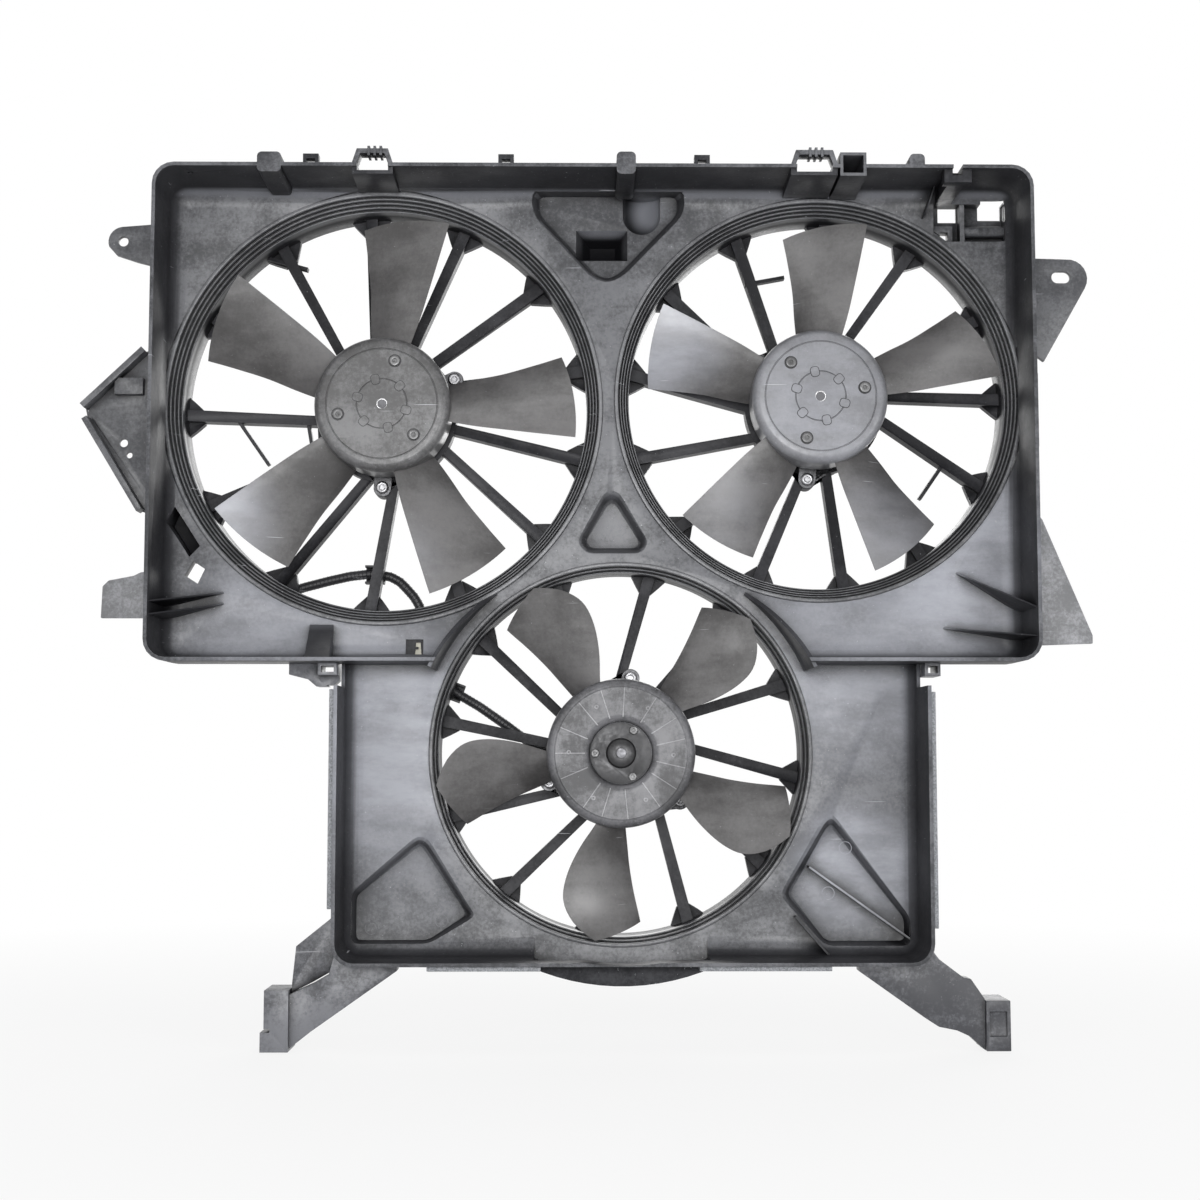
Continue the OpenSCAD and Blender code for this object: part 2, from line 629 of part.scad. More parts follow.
module impeller(i) {
  at(i) {
    difference() {
      hub_cup(FAN[i][5], 48.8, 0.7);
      for (a = HUB_SCREWS[i])
        rotate([0, -a, 0]) translate([38.5, 0, 0]) ycyl(hub_y - 1, 6, 2);
    }
    // raised ring with six pads round the shaft hole
    slab(hub_y - 0.5, 0.6) difference() {
      circle(21.6);
      circle(20.8);
    }
    for (k = [0:5])
      rotate([0, -(43 + 58 * k), 0]) translate([21.2, 0, 0]) ycyl(hub_y - 0.6, 0.7, 3.2);
    blades(i, UPPER_ROWS, i == 0 ? 7.5 : 9.5);
  }
}

module drive(i) {
  at(i) difference() {
    union() {
      ycyl(hub_y + 2.4, 2.6, 43);
      ycyl(hub_y + 5, 4, 9);
    }
    ycyl(hub_y, 12, shaft_r);
    for (a = HUB_SCREWS[i])
      rotate([0, -a, 0]) translate([38.5, 0, 0]) ycyl(hub_y, 8, 2);
  }
}

module hub_screws(i) {
  at(i) for (a = HUB_SCREWS[i])
    rotate([0, -a, 0]) translate([38.5, 0, 0]) {
      difference() {
        ycyl(hub_y - 2.2, 2.2, 4.6);
        ycyl(hub_y - 3, 2, 1.6);
      }
      ycyl(hub_y, 6.5, 2);
    }
}

// lower fan: ribbed cup with a sunk centre
module impeller_lower() color(grey) at(2) {
  r = hub_low_r;
  difference() {
    spin(concat([[9, hub_y + 6], [9, hub_y + 4], [26, hub_y + 4], [29.5, hub_y]],
      [for (k = [0:5]) [r - 6 + 6 * sin(18 * k), hub_y + 6 - 6 * cos(18 * k)]],
      [[r, hub_back], [r - 2.4, hub_back]],
      [for (k = [0:5]) [r - 6 + 3.6 * cos(18 * k), hub_y + 6 - 3.6 * sin(18 * k)]],
      [[30, hub_y + 2.4], [27, hub_y + 6]]));
    for (a = HUB_SCREWS[2])
      rotate([0, -a, 0]) translate([22, 0, 0]) ycyl(hub_y - 1, 12, 2);
  }
  for (k = [0:15])
    rotate([0, 22.5 * k, 0]) translate([31, hub_y - 0.4, -0.5]) cube([24, 0.6, 1]);
  for (k = [0:5])
    rotate([0, 60 * k, 0]) translate([43, 0, 0]) ycyl(hub_y - 0.4, 0.6, 2);
  blades(2, LOWER_ROWS, 14);
}

module drive_lower() color(steel) at(2) difference() {
  union() {
    ycyl(hub_y + 2.6, 1.4, 25.6);
    spin([[4, hub_y - 3], [8, hub_y - 2.6], [11.5, hub_y - 0.6], [12.7, hub_y + 2.6], [9, hub_y + 2.6],
      [9, hub_y + 9], [4, hub_y + 9]]);
  }
  ycyl(hub_y - 5, 16, shaft_r);
  for (a = HUB_SCREWS[2])
    rotate([0, -a, 0]) translate([22, 0, 0]) ycyl(hub_y - 1, 8, 2);
}

module hub_rivets_lower() color(steel) at(2)
  for (a = HUB_SCREWS[2])
    rotate([0, -a, 0]) translate([22, 0, 0]) {
      ycyl(hub_y + 1.2, 1.4, 3.6);
      ycyl(hub_y + 2.6, 5, 2);
    }

// side pieces
module ear_left() color(dark) slab(58, 5) difference() {
  polygon(concat([[xl, -76]], [[xl, -36]], arc(xl - 36.5, -52, 13, 100, 200, 8),
    [[xl - 42, -64], [xl - 24, -70]]));
  translate([xl - 36.5, -52]) circle(4.2);
}

module ear_right() color(dark) slab(58, 5) difference() {
  polygon(concat([[xr, -64], [xr, rf_z + 46], [xr + bulge, rf_z + 41], [xr + 20, rf_z + 30.5]],
    arc(xr + 42, -82, 17, -30, 95, 8)));
  for (x = [33, 39])
    translate([xr + x, -81]) circle(5);
  translate([xr + 33, -86]) square([6, 10]);
}

module wing_left() color(dark) slab(58, 5)
  polygon([[xl, zb + 80], [xl - 16, zb + 78], [xl - 22, zb + 75], [xl - 43, zb + 71], [xl - 48, zb + 66],
    [xl - 49, zb + 39], [xl, zb + 39]]);

module wing_right() color(dark) slab(58, 5)
  polygon([[xr, rf_z - 84.5], [xr + 16, rf_z - 106.5], [xr + 57, zb + 25], [xr + 57, zb + 18],
    [xr, zb + 16]]);

module side_bracket() color(dark) {
  slab(60, 4) difference() {
    polygon([[xl, lf_z + 53], [xl - 15, lf_z + 45], [xl - 66, lf_z - 4], [xl - 64, lf_z - 14],
      [xl - 16, lf_z - 93], [xl, lf_z - 99], [xl, lf_z - 46], [xl - bulge, lf_z - 40],
      [xl - bulge, lf_z + 40], [xl, lf_z + 46]]);
    translate([xl - 33, lf_z - 34]) circle(3.5);
    translate([xl - 28, lf_z - 44.5]) circle(2.6);
  }
  for (s = [[15, 45, 66, -4], [64, -14, 16, -93]])
    rib(xl - s[0], lf_z + s[1], xl - s[2], lf_z + s[3], 5, 46, 62);
  translate([xl - 40, 52, lf_z + 7]) cube([24, 9, 14]);
}

// foot arms in their own plane: u outwards from the side wall, z up from the lower rim
ARM_OUT = [
  [[-50, 0], [-10.5, 0], [0, 10.5], [0, 12], [6, -10], [20, -18], [38, -26], [38, -70], [20, -56],
   [-50, -7]],
  [[-56, 0], [-10.5, 0], [0, 10.5], [0, 18], [4, 10], [10, 2], [30, -13], [36, -14], [47, -30], [47, -72],
   [35, -61], [24, -56], [9, -53], [-2, -46], [-56, -8]]];
ARM_IN = [
  [[-40, -3], [-11, -3], [-1, 0], [4, -6], [10, -14], [22, -21.5], [34, -29], [34, -60], [22, -52],
   [-40, -8]],
  [[-44, -3], [-11, -3], [-2, 1], [8, -2], [28, -16], [34, -18], [43, -32], [43, -64], [34, -57],
   [22, -52.5], [10, -49.5], [0, -43.5], [-44, -12]]];

module foot(k) {
  u0 = k == 0 ? 38 : 47;
  z0 = k == 0 ? -22 : -31;
  translate([k == 0 ? ll : lr, 0, zl]) mirror([k == 0 ? 1 : 0, 0, 0]) {
    // channel, open to the rear
    difference() {
      slab(foot_y, 19) polygon(ARM_OUT[k]);
      slab(foot_y + wall + 0.5, 19) polygon(ARM_IN[k]);
    }
    if (k == 0)
      slab(foot_y + 14, 5) polygon([[0, 40], [35, 12], [38, -18], [38, -26], [20, -17], [6, -9], [0, 11]]);
    // end block
    difference() {
      union() {
        translate([u0, foot_y - 6, -72]) cube([20, 42, 72 + z0]);
        if (k == 0)
          translate([u0 + 18, foot_y - 6, -72]) cube([5, 42, 16]);
      }
      if (k == 0)
        translate([u0 + 15, foot_y - 8, -56]) cube([12, 46, 3]);
      if (k == 1)
        translate([u0 + 3, foot_y - 8, -60]) cube([14, 4, 20]);
    }
  }
}

module foot_left() color(dark) foot(0);
module foot_right() color(dark) foot(1);

// bosses and a hook below the lower wall of the upper chamber
module rim_bosses() color(dark) {
  slab(50, 22) translate([ll, zb]) polygon([[-44, 0], [-18, 0], [-18, -14], [-11, -19], [-21, -19],
    [-28, -13], [-44, -9]]);
  slab(34, 30) difference() {
    translate([ll - 17.7, zb - 10]) square([16, 10]);
    translate([ll - 15, zb - 7.5]) square([10.6, 5]);
  }
  slab(50, 16) translate([ll, zb]) polygon([[-17.7, -10], [-2, -10], [-2, -14], [-6, -18],
    [-13, -18], [-17.7, -14]]);
  slab(30, 34) difference() {
    translate([lr + 0.3, zb - 11]) square([13, 11]);
    translate([lr + 3, zb - 8.5]) square([8, 6]);
  }
}

// sealing strips beside and below the lower chamber
module edge_strips() color([0.11, 0.11, 0.12]) {
  translate([ll - 4, 4, zl + 46]) cube([4, 34, low_h - 69]);
  translate([lr, 4, zl + 30]) cube([4, 34, low_h - 55]);
  translate([ll + 77, 4, zl - 4]) cube([df_x - 66.5 - ll - 77, 17.7, 4]);
  translate([df_x + 62.5, 4, zl - 4]) cube([lr - 83 - df_x - 62.5, 17.7, 4]);
}

// round tube swept through a list of points, its ring carried along without twist
function unit(v) = v / norm(v);
function heading(pts, k) = unit(pts[min(k + 1, len(pts) - 1)] - pts[max(k - 1, 0)]);
function carried(pts, k, u) = let (d = heading(pts, k), w = unit(u - (u * d) * d))
  k == len(pts) - 1 ? [w] : concat([w], carried(pts, k + 1, w));

module tube_path(pts, r) {
  m = len(pts) - 1;
  us = carried(pts, 0, [1, 0, 0]);
  loft([for (k = [0:m]) let (v = cross(heading(pts, k), us[k]))
    [for (q = [0:9]) pts[k] + r * (us[k] * cos(36 * q) + v * sin(36 * q))]]);
}

// quarter turn towards the front: p = where the run is level, a = its heading
function hook(p, a, ye) = concat([[p[0] - cord_bend * cos(a), ye, p[1] - cord_bend * sin(a)]],
  [for (k = [0:4]) let (g = cord_bend * cos(22.5 * k), h = cord_bend * (1 - sin(22.5 * k)))
    [p[0] - g * cos(a), cord_y - h, p[1] - g * sin(a)]]);

function flip(v) = [for (k = [1:len(v)]) v[len(v) - k]];

conn_x = df_x - df_bell - 25;
conn_z = lf_z - lf_bell - 42;
conn_end = back_y + 20;

module conduit_left() color([0.08, 0.08, 0.09]) at(0)
  tube_path(concat(hook([-95, -160], 25, back_y), place([[-75.3, -152], [-51.5, -145.8], [-33.9, -141.8],
    [-14.5, -139.5], [2.4, -142.2], [10.4, -146.6], [16.6, -152.8], [22.9, -159.9], [27.3, -167],
    [30.6, -176]], cord_y), flip(hook([32.5, -184], 98, conn_end))), cord_r);

module conduit_lower() color([0.08, 0.08, 0.09]) at(2)
  tube_path(concat(hook([-163.5, 68], -33.5, conn_end), place([[-142.2, 52.3], [-122.8, 40.9], [-97.1, 23],
    [-78.5, 9], [-70, 4.9], [-60.1, 4.2]], cord_y)), cord_r);

// plug housing on the back of the floor, seen through the small window
module connector() color([0.55, 0.53, 0.46]) {
  translate([conn_x, back_y, conn_z]) cube([32, 20, 36]);
  translate([conn_x + 32, back_y + 6, conn_z + 14]) cube([3, 8, 10]);
}

// band over a conduit, standing on a rear face at y0: l long, w between its legs
module band(y0, l, w) {
  difference() {
    translate([-l / 2, y0, -w / 2 - 2]) cube([l, cord_y + cord_r + 1.5 - y0, w + 4]);
    translate([-l / 2 - 1, y0 - 1, -w / 2]) cube([l + 2, cord_y + cord_r + 1.3 - y0, w]);
  }
}

module harness_clips() color([0.10, 0.10, 0.11]) {
  at(0) translate([-11.5, 0, -140.5]) band(arm_back, 17, 2 * cord_r + 3.4);
  at(2) rotate([0, -159.5, 0]) translate([df_barrel - 2.5, 0, 0]) band(barrel_back, 11, 2 * cord_r + 3.4);
}

module bell_left() color(dark) bell(0);
module bell_right() color(dark) bell(1);
module bell_lower() color(dark) bell(2);
module stator_left() color(dark) stator(0);
module stator_right() color(dark) stator(1);
module stator_lower() color(dark) stator(2);
module impeller_left() color(grey) impeller(0);
module drive_left() color(steel) drive(0);
module hub_screws_left() color(steel) hub_screws(0);
module shaft_left() color(steel) shaft(0, hub_y + 2);
module armature_left() color([0.45, 0.28, 0.18]) armature(0);
module commutator_left() color([0.72, 0.45, 0.25]) commutator(0);
module can_left() color([0.30, 0.31, 0.33]) motor_can(0);
module magnets_left() color([0.20, 0.20, 0.22]) magnets(0);
module end_cap_left() color(dark) end_cap(0);
module brushes_left() color([0.15, 0.15, 0.16]) brushes(0);
module bearings_left() color(steel) bearings(0);
module motor_screws_left() color(steel) motor_screws(0);
module impeller_right() color(grey) impeller(1);
module drive_right() color(steel) drive(1);
module hub_screws_right() color(steel) hub_screws(1);
module shaft_right() color(steel) shaft(1, hub_y + 2);
module armature_right() color([0.45, 0.28, 0.18]) armature(1);
module commutator_right() color([0.72, 0.45, 0.25]) commutator(1);
module can_right() color([0.30, 0.31, 0.33]) motor_can(1);
module magnets_right() color([0.20, 0.20, 0.22]) magnets(1);
module end_cap_right() color(dark) end_cap(1);
module brushes_right() color([0.15, 0.15, 0.16]) brushes(1);
module bearings_right() color(steel) bearings(1);
module motor_screws_right() color(steel) motor_screws(1);
module shaft_lower() color(steel) shaft(2, hub_y - 6);
module armature_lower() color([0.45, 0.28, 0.18]) armature(2);
module commutator_lower() color([0.72, 0.45, 0.25]) commutator(2);
module can_lower() color([0.30, 0.31, 0.33]) motor_can(2);
module magnets_lower() color([0.20, 0.20, 0.22]) magnets(2);
module end_cap_lower() color(dark) end_cap(2);
module brushes_lower() color([0.15, 0.15, 0.16]) brushes(2);
module bearings_lower() color(steel) bearings(2);
module motor_screws_lower() color(steel) motor_screws(2);

shroud();
top_clips();
bell_left();
bell_right();
bell_lower();
stator_left();
stator_right();
stator_lower();
ear_left();
ear_right();
wing_left();
wing_right();
side_bracket();
rim_bosses();
foot_left();
foot_right();
edge_strips();
impeller_left();
drive_left();
hub_screws_left();
shaft_left();
armature_left();
commutator_left();
can_left();
magnets_left();
end_cap_left();
brushes_left();
bearings_left();
motor_screws_left();
impeller_right();
drive_right();
hub_screws_right();
shaft_right();
armature_right();
commutator_right();
can_right();
magnets_right();
end_cap_right();
brushes_right();
bearings_right();
motor_screws_right();
impeller_lower();
drive_lower();
hub_rivets_lower();
shaft_lower();
armature_lower();
commutator_lower();
can_lower();
magnets_lower();
end_cap_lower();
brushes_lower();
bearings_lower();
motor_screws_lower();
conduit_left();
conduit_lower();
connector();
harness_clips();
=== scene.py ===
"""Looks of an engine cooling fan: a two-chamber plastic shroud with three driven fans.

Moulded pieces are rounded copies of the CAD nodes. Turned and repeated pieces are built from the
part's own measures. Meshes are written in millimetres in the part's frame (X across, Y towards
the engine, Z up) and brought to metres when they become objects.
"""

import json
import logging
import math
from collections.abc import Iterator, Sequence
from contextlib import contextmanager
from dataclasses import dataclass
from enum import Enum

import bmesh
import bpy
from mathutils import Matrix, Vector

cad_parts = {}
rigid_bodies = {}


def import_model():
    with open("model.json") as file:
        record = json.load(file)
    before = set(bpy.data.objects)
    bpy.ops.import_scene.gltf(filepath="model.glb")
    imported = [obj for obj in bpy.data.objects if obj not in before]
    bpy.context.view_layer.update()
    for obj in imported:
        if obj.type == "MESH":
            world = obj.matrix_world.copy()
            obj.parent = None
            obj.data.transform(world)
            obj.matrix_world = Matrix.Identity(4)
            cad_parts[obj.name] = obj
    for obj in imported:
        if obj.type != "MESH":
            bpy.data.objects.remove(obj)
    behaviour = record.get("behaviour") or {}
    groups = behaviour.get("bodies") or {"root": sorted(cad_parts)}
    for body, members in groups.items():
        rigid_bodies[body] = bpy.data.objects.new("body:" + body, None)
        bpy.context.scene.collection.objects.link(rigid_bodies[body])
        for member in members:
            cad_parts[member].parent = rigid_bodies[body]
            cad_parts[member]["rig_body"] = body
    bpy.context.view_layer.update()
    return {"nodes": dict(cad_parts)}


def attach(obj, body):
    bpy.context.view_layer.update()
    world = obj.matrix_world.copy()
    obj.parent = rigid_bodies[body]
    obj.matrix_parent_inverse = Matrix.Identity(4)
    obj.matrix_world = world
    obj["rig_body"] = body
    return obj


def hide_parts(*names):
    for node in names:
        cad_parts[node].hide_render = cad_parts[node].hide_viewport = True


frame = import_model()

log = logging.getLogger("cooling_fan")
Point = tuple[float, float, float]
Pair = tuple[float, float]
Place = tuple[float, float, float, float]
Colour = tuple[float, float, float]
Shape = tuple[list[Point], list[tuple[int, ...]]]
Socket = bpy.types.NodeSocket
Tone = Colour | Socket
Inputs = dict[str | int, object]
Rows = tuple[tuple[float, float, float, float, float], ...]

MM = 0.001
WHOLE_TURN = 2 * math.pi
WELD = 1e-7  # metres under which points of a new mesh are one
CAD_WELD = 2e-6  # the same for a CAD node's loose triangles
FLAT = 0.6  # degrees between triangles that are joined
SHARP_EDGE = 32  # edges of CAD nodes over this many degrees are rounded
SOFT_EDGE = 38  # edges of rounded pieces under this many degrees are shaded smooth
NEEDLE, STRAIGHT = 3, 86  # corners whose half angle in degrees lies outside stay as they are
LARGEST_CUT = 0.45  # share of an outline's edge that one rounded corner may take

FLOOR_Y = 72.0  # front face of the chamber floors
WALL_FOOT = (0.058, 0.0715)  # depths in metres over which the walls' painted shade ends
GLOSS_FOOT = (0.056, 0.071)  # the same for their dull finish
RIM_FACE = (0.0006, 0.0022)  # depths over which the painted wall shade starts behind the rim
DULL_WALL = 0.2  # gloss of such a wall as a share of the floor's
PIT_TONE, PIT_GLOSS = 0.012, 0.010  # metres over which colour and gloss fade in a barrel
# black of painted shade, in corners and past a pit's depth
SHADE_BLACK = (0.006, 0.006, 0.007)
# colour of the painted shade on the walls
WALL_SHADE = (0.012, 0.012, 0.014)
# colour of the painted shade on sideways faces
SLOPE_SHADE = (0.026, 0.026, 0.029)


class Side(Enum):
    """The three fan units."""

    LEFT = "left"
    RIGHT = "right"
    LOWER = "lower"


CENTRES: dict[Side, Pair] = {Side.LEFT: (-181.0, -193.0), Side.RIGHT: (195.0, -185.5),
                             Side.LOWER: (23.5, -491.0)}


# ---------------------------------------------------------------- meshes


def linked(name: str, data: bpy.types.ID) -> bpy.types.Object:
    """Makes an object and puts it in the scene.

    Args:
        name: name of the object.
        data: its mesh, lamp or camera.

    Returns:
        The object.
    """
    obj = bpy.data.objects.new(name, data)
    bpy.context.scene.collection.objects.link(obj)
    return obj


def metres(point: Point) -> Point:
    """Brings a point in millimetres to metres."""
    x, y, z = point
    return x * MM, y * MM, z * MM


def make_object(name: str, verts: list[Point], faces: list[tuple[int, ...]]) -> bpy.types.Object:
    """Makes an object from points and faces.

    Args:
        name: name of the object.
        verts: corner points in millimetres.
        faces: corner numbers of each face.

    Returns:
        The linked object, in metres.
    """
    mesh = bpy.data.meshes.new(name)
    mesh.from_pydata([metres(v) for v in verts], [], faces)
    mesh.validate()
    return linked(name, mesh)


@contextmanager
def editing(mesh: bpy.types.Mesh) -> Iterator[bmesh.types.BMesh]:
    """Opens a mesh for editing and writes it back.

    Args:
        mesh: mesh that is changed.

    Yields:
        Its editable form.
    """
    bm = bmesh.new()
    bm.from_mesh(mesh)
    yield bm
    bm.to_mesh(mesh)
    bm.free()


def shade(obj: bpy.types.Object, angle: float) -> None:
    """Shades an object smooth except over edges sharper than the angle.

    Args:
        obj: object whose mesh is shaded.
        angle: limit in degrees.
    """
    limit = math.radians(angle)
    with editing(obj.data) as bm:
        for f in bm.faces:
            f.smooth = True
        for e in bm.edges:
            e.smooth = len(e.link_faces) == 2 and e.calc_face_angle(0.0) < limit


def freeze(obj: bpy.types.Object) -> None:
    """Turns the evaluated object into a plain mesh and drops its modifiers.

    Args:
        obj: object with modifiers.
    """
    graph = bpy.context.evaluated_depsgraph_get()
    mesh = bpy.data.meshes.new_from_object(obj.evaluated_get(graph), depsgraph=graph)
    mesh.name = obj.name
    obj.modifiers.clear()
    obj.data = mesh


def softened(node: str, name: str, width: float, segments: int) -> bpy.types.Object:
    """Copies a CAD node and rounds its edges, as a mould leaves them.

    Args:
        node: CAD node that the piece stands for.
        name: name of the new piece.
        width: width of the rounding in millimetres.
        segments: steps of the rounding.

    Returns:
        The new piece, riding on the node's body.
    """
    source = frame["nodes"][node]
    mesh = source.data.copy()
    with editing(mesh) as bm:
        bmesh.ops.remove_doubles(bm, verts=bm.verts, dist=CAD_WELD)
        bmesh.ops.dissolve_limit(bm, angle_limit=math.radians(FLAT), verts=bm.verts,
                                 edges=bm.edges)
    obj = linked(name, mesh)
    bevel = obj.modifiers.new("edges", "BEVEL")
    bevel.width = width * MM
    bevel.segments = segments
    bevel.limit_method = "ANGLE"
    bevel.angle_limit = math.radians(SHARP_EDGE)
    bevel.use_clamp_overlap = True
    freeze(obj)
    shade(obj, SOFT_EDGE)
    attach(obj, source["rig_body"])
    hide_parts(node)
    return obj


def dress(obj: bpy.types.Object, material: bpy.types.Material) -> bpy.types.Object:
    """Gives an object one material.

    Args:
        obj: piece or CAD node.
        material: finish for the whole piece.

    Returns:
        The object.
    """
    obj.data.materials.clear()
    obj.data.materials.append(material)
    for p in obj.data.polygons:
        p.material_index = 0
    return obj


def revolve(profile: list[Pair], segments: int, centre: Pair = (0, 0)) -> Shape:
    """Turns a closed profile of (radius, y) points about a line along Y.

    Args:
        profile: corners, anticlockwise when radius is to the right and y is up.
        segments: steps round the circle.
        centre: x and z of the axis.

    Returns:
        Points and faces.
    """
    verts, faces, n = [], [], len(profile)
    for k in range(segments):
        a = WHOLE_TURN * k / segments
        verts += [(centre[0] + r * math.cos(a), y, centre[1] + r * math.sin(a)) for r, y in profile]
    for k in range(segments):
        k1 = (k + 1) % segments
        for j in range(n):
            j1 = (j + 1) % n
            faces.append((k * n + j, k * n + j1, k1 * n + j1, k1 * n + j))
    return verts, faces


def solid(name: str, shape: Shape, smooth: float = 40.0) -> bpy.types.Object:
    """Makes a closed piece whose faces point outwards.

    Args:
        name: name of the object.
        shape: points in millimetres, and faces.
        smooth: angle in degrees under which an edge is shaded smooth.

    Returns:
        The linked object, in metres.
    """
    obj = make_object(name, *shape)
    with editing(obj.data) as bm:
        bmesh.ops.remove_doubles(bm, verts=bm.verts, dist=WELD)
        bmesh.ops.recalc_face_normals(bm, faces=bm.faces)
    shade(obj, smooth)
    return obj


def rounded(points: list[Pair], radius: float, steps: int) -> list[Pair]:
    """Rounds the corners of a closed outline.

    Args:
        points: corners in order.
        radius: largest radius of a corner.
        steps: parts that each corner's arc is split into.

    Returns:
        The outline with arcs at its corners.
    """
    out, n = [], len(points)
    for i in range(n):
        p, a, b = Vector(points[i]), Vector(points[i - 1]), Vector(points[(i + 1) % n])
        u, v = (a - p), (b - p)
        lu, lv = u.length, v.length
        u, v = u / lu, v / lv
        half = math.acos(max(-1, min(1, u.dot(v)))) / 2
        if not math.radians(NEEDLE) <= half <= math.radians(STRAIGHT):
            out.append(tuple(p))
            continue
        cut = min(radius / math.tan(half), lu * LARGEST_CUT, lv * LARGEST_CUT)
        r = cut * math.tan(half)
        c = p + (u + v).normalized() * (r / math.sin(half))
        s, e = p + u * cut - c, p + v * cut - c
        turn = math.atan2(s.x * e.y - s.y * e.x, s.dot(e))
        for k in range(steps + 1):
            t = turn * k / steps
            out.append((c.x + s.x * math.cos(t) - s.y * math.sin(t),
                        c.y + s.x * math.sin(t) + s.y * math.cos(t)))
    return out


# ---------------------------------------------------------------- finishes


class NodeMaker:
    """Adds shader nodes to a tree."""

    def __init__(self, tree: bpy.types.NodeTree) -> None:
        """Takes the tree that gets the nodes."""
        self.tree = tree

    def fill(self, node: bpy.types.Node, inputs: Inputs) -> None:
        """Gives each input its number or colour, or joins it to another node's output.

        Args:
            node: node whose inputs are filled.
            inputs: what they get, by name or number.
        """
        for key, value in inputs.items():
            if isinstance(value, Socket):
                self.tree.links.new(value, node.inputs[key])
            else:
                node.inputs[key].default_value = value

    def add(self, kind: str, inputs: Inputs, **options: object) -> bpy.types.Node:
        """Adds a shader node.

        Args:
            kind: the node's type without its prefix.
            inputs: what the inputs get, by name or number.
            options: settings of the node itself.

        Returns:
            The node.
        """
        node = self.tree.nodes.new("ShaderNode" + kind)
        for key, value in options.items():
            setattr(node, key, value)
        self.fill(node, inputs)
        return node

    def math(self, operation: str, a: Socket, b: Socket | float = 0.0) -> Socket:
        """Joins two values with one sum."""
        return self.add("Math", {0: a, 1: b}, operation=operation).outputs[0]

    def seen(self) -> Socket:
        """Tells rays that show a surface from those that only light it.

        Returns:
            A socket: 1 for rays from the camera, from gloss and through glass, 0 for others.
        """
        path = self.add("LightPath", {}).outputs
        total = self.math("MAXIMUM", path["Is Camera Ray"], path["Is Glossy Ray"])
        return self.math("MAXIMUM", total, path["Is Transmission Ray"])


class Shader(NodeMaker):
    """Builds one node material on Object coordinates."""

    def __init__(self, name: str) -> None:
        """Starts an empty finish.

        Args:
            name: name of the material.
        """
        self.material = bpy.data.materials.new(name)
        self.material.use_nodes = True
        super().__init__(self.material.node_tree)
        self.coord = self.add("TexCoord", {}).outputs["Object"]

    def noise(self, scale: float, detail: float = 3, rough: float = 0.5,
              stretch: Point = (1, 1, 1), turn: float = 0) -> Socket:
        """Adds a noise texture.

        Args:
            scale: repeats per metre.
            detail: octaves.
            rough: share of the finer octaves.
            stretch: scale per axis.
            turn: degrees about Y.

        Returns:
            The noise value's socket.
        """
        place = self.add("Mapping", {"Vector": self.coord, "Scale": stretch,
                                     "Rotation": (0, math.radians(turn), 0)})
        return self.add("TexNoise", {"Vector": place.outputs["Vector"], "Scale": scale,
                                     "Detail": detail, "Roughness": rough}).outputs["Fac"]

    def depth(self) -> Socket:
        """Gives the Y coordinate, in metres behind the front rim."""
        return self.add("SeparateXYZ", {0: self.coord}).outputs["Y"]

    def facing(self) -> tuple[Socket, Socket]:
        """Reads the surface's direction.

        Returns:
            How much it faces along Y and along Z.
        """
        normal = self.add("NewGeometry", {}).outputs["Normal"]
        parts = self.add("SeparateXYZ", {0: normal}).outputs
        return parts["Y"], parts["Z"]

    def crevice(self, reach: float) -> Socket:
        """Gives 1 in the open and less in the piece's own corners, within a reach in metres."""
        return self.add("AmbientOcclusion", {"Distance": reach}, samples=6,
                        only_local=True).outputs["AO"]

    def near(self, point: Point, radius: float, core: float, strength: float) -> Socket:
        """Gives a strength round a point, falling to 0 at a radius in metres.

        Args:
            point: middle of the spot in metres.
            radius: where it ends.
            core: share of the radius that has full strength.
            strength: value in the middle.

        Returns:
            The value's socket.
        """
        away = self.add("VectorMath", {0: self.coord, 1: point}, operation="DISTANCE")
        return self.ramp(away.outputs["Value"], radius * core, radius, strength, 0.0)

    def ramp(self, value: Socket, low: float, high: float, to_low: float = 0.0,
             to_high: float = 1.0) -> Socket:
        """Maps a value smoothly from one range to another.

        Args:
            value: value to map.
            low: start of its range.
            high: end of its range.
            to_low: result at the start.
            to_high: result at the end.

        Returns:
            The result's socket.
        """
        limits = {"From Min": low, "From Max": high, "To Min": to_low, "To Max": to_high}
        return self.add("MapRange", {"Value": value, **limits},
                        interpolation_type="SMOOTHSTEP").outputs["Result"]

    def mix(self, share: Socket, a: Tone, b: Tone) -> Socket:
        """Mixes two colours.

        Args:
            share: share of the second one, from 0 to 1.
            a: first colour.
            b: second colour.

        Returns:
            The mixed colour's socket.
        """
        first, second = ((*c, 1) if isinstance(c, tuple) else c for c in (a, b))
        inputs = {"Factor": share, 6: first, 7: second}
        return self.add("Mix", inputs, data_type="RGBA").outputs[2]

    def bump(self, height: Socket, distance: float, strength: float,
             under: Socket | None = None) -> Socket:
        """Raises the surface by a value.

        Args:
            height: the value.
            distance: height in metres at a value of 1.
            strength: share of the effect that shows.
            under: direction of a coarser bump below it.

        Returns:
            The new direction's socket.
        """
        below = {} if under is None else {"Normal": under}
        return self.add("Bump", {"Height": height, "Distance": distance, "Strength": strength,
                                 **below}).outputs["Normal"]

    def finished(self, inputs: Inputs) -> bpy.types.Material:
        """Fills the surface's inputs and returns the material."""
        self.fill(self.tree.nodes["Principled BSDF"], inputs)
        return self.material


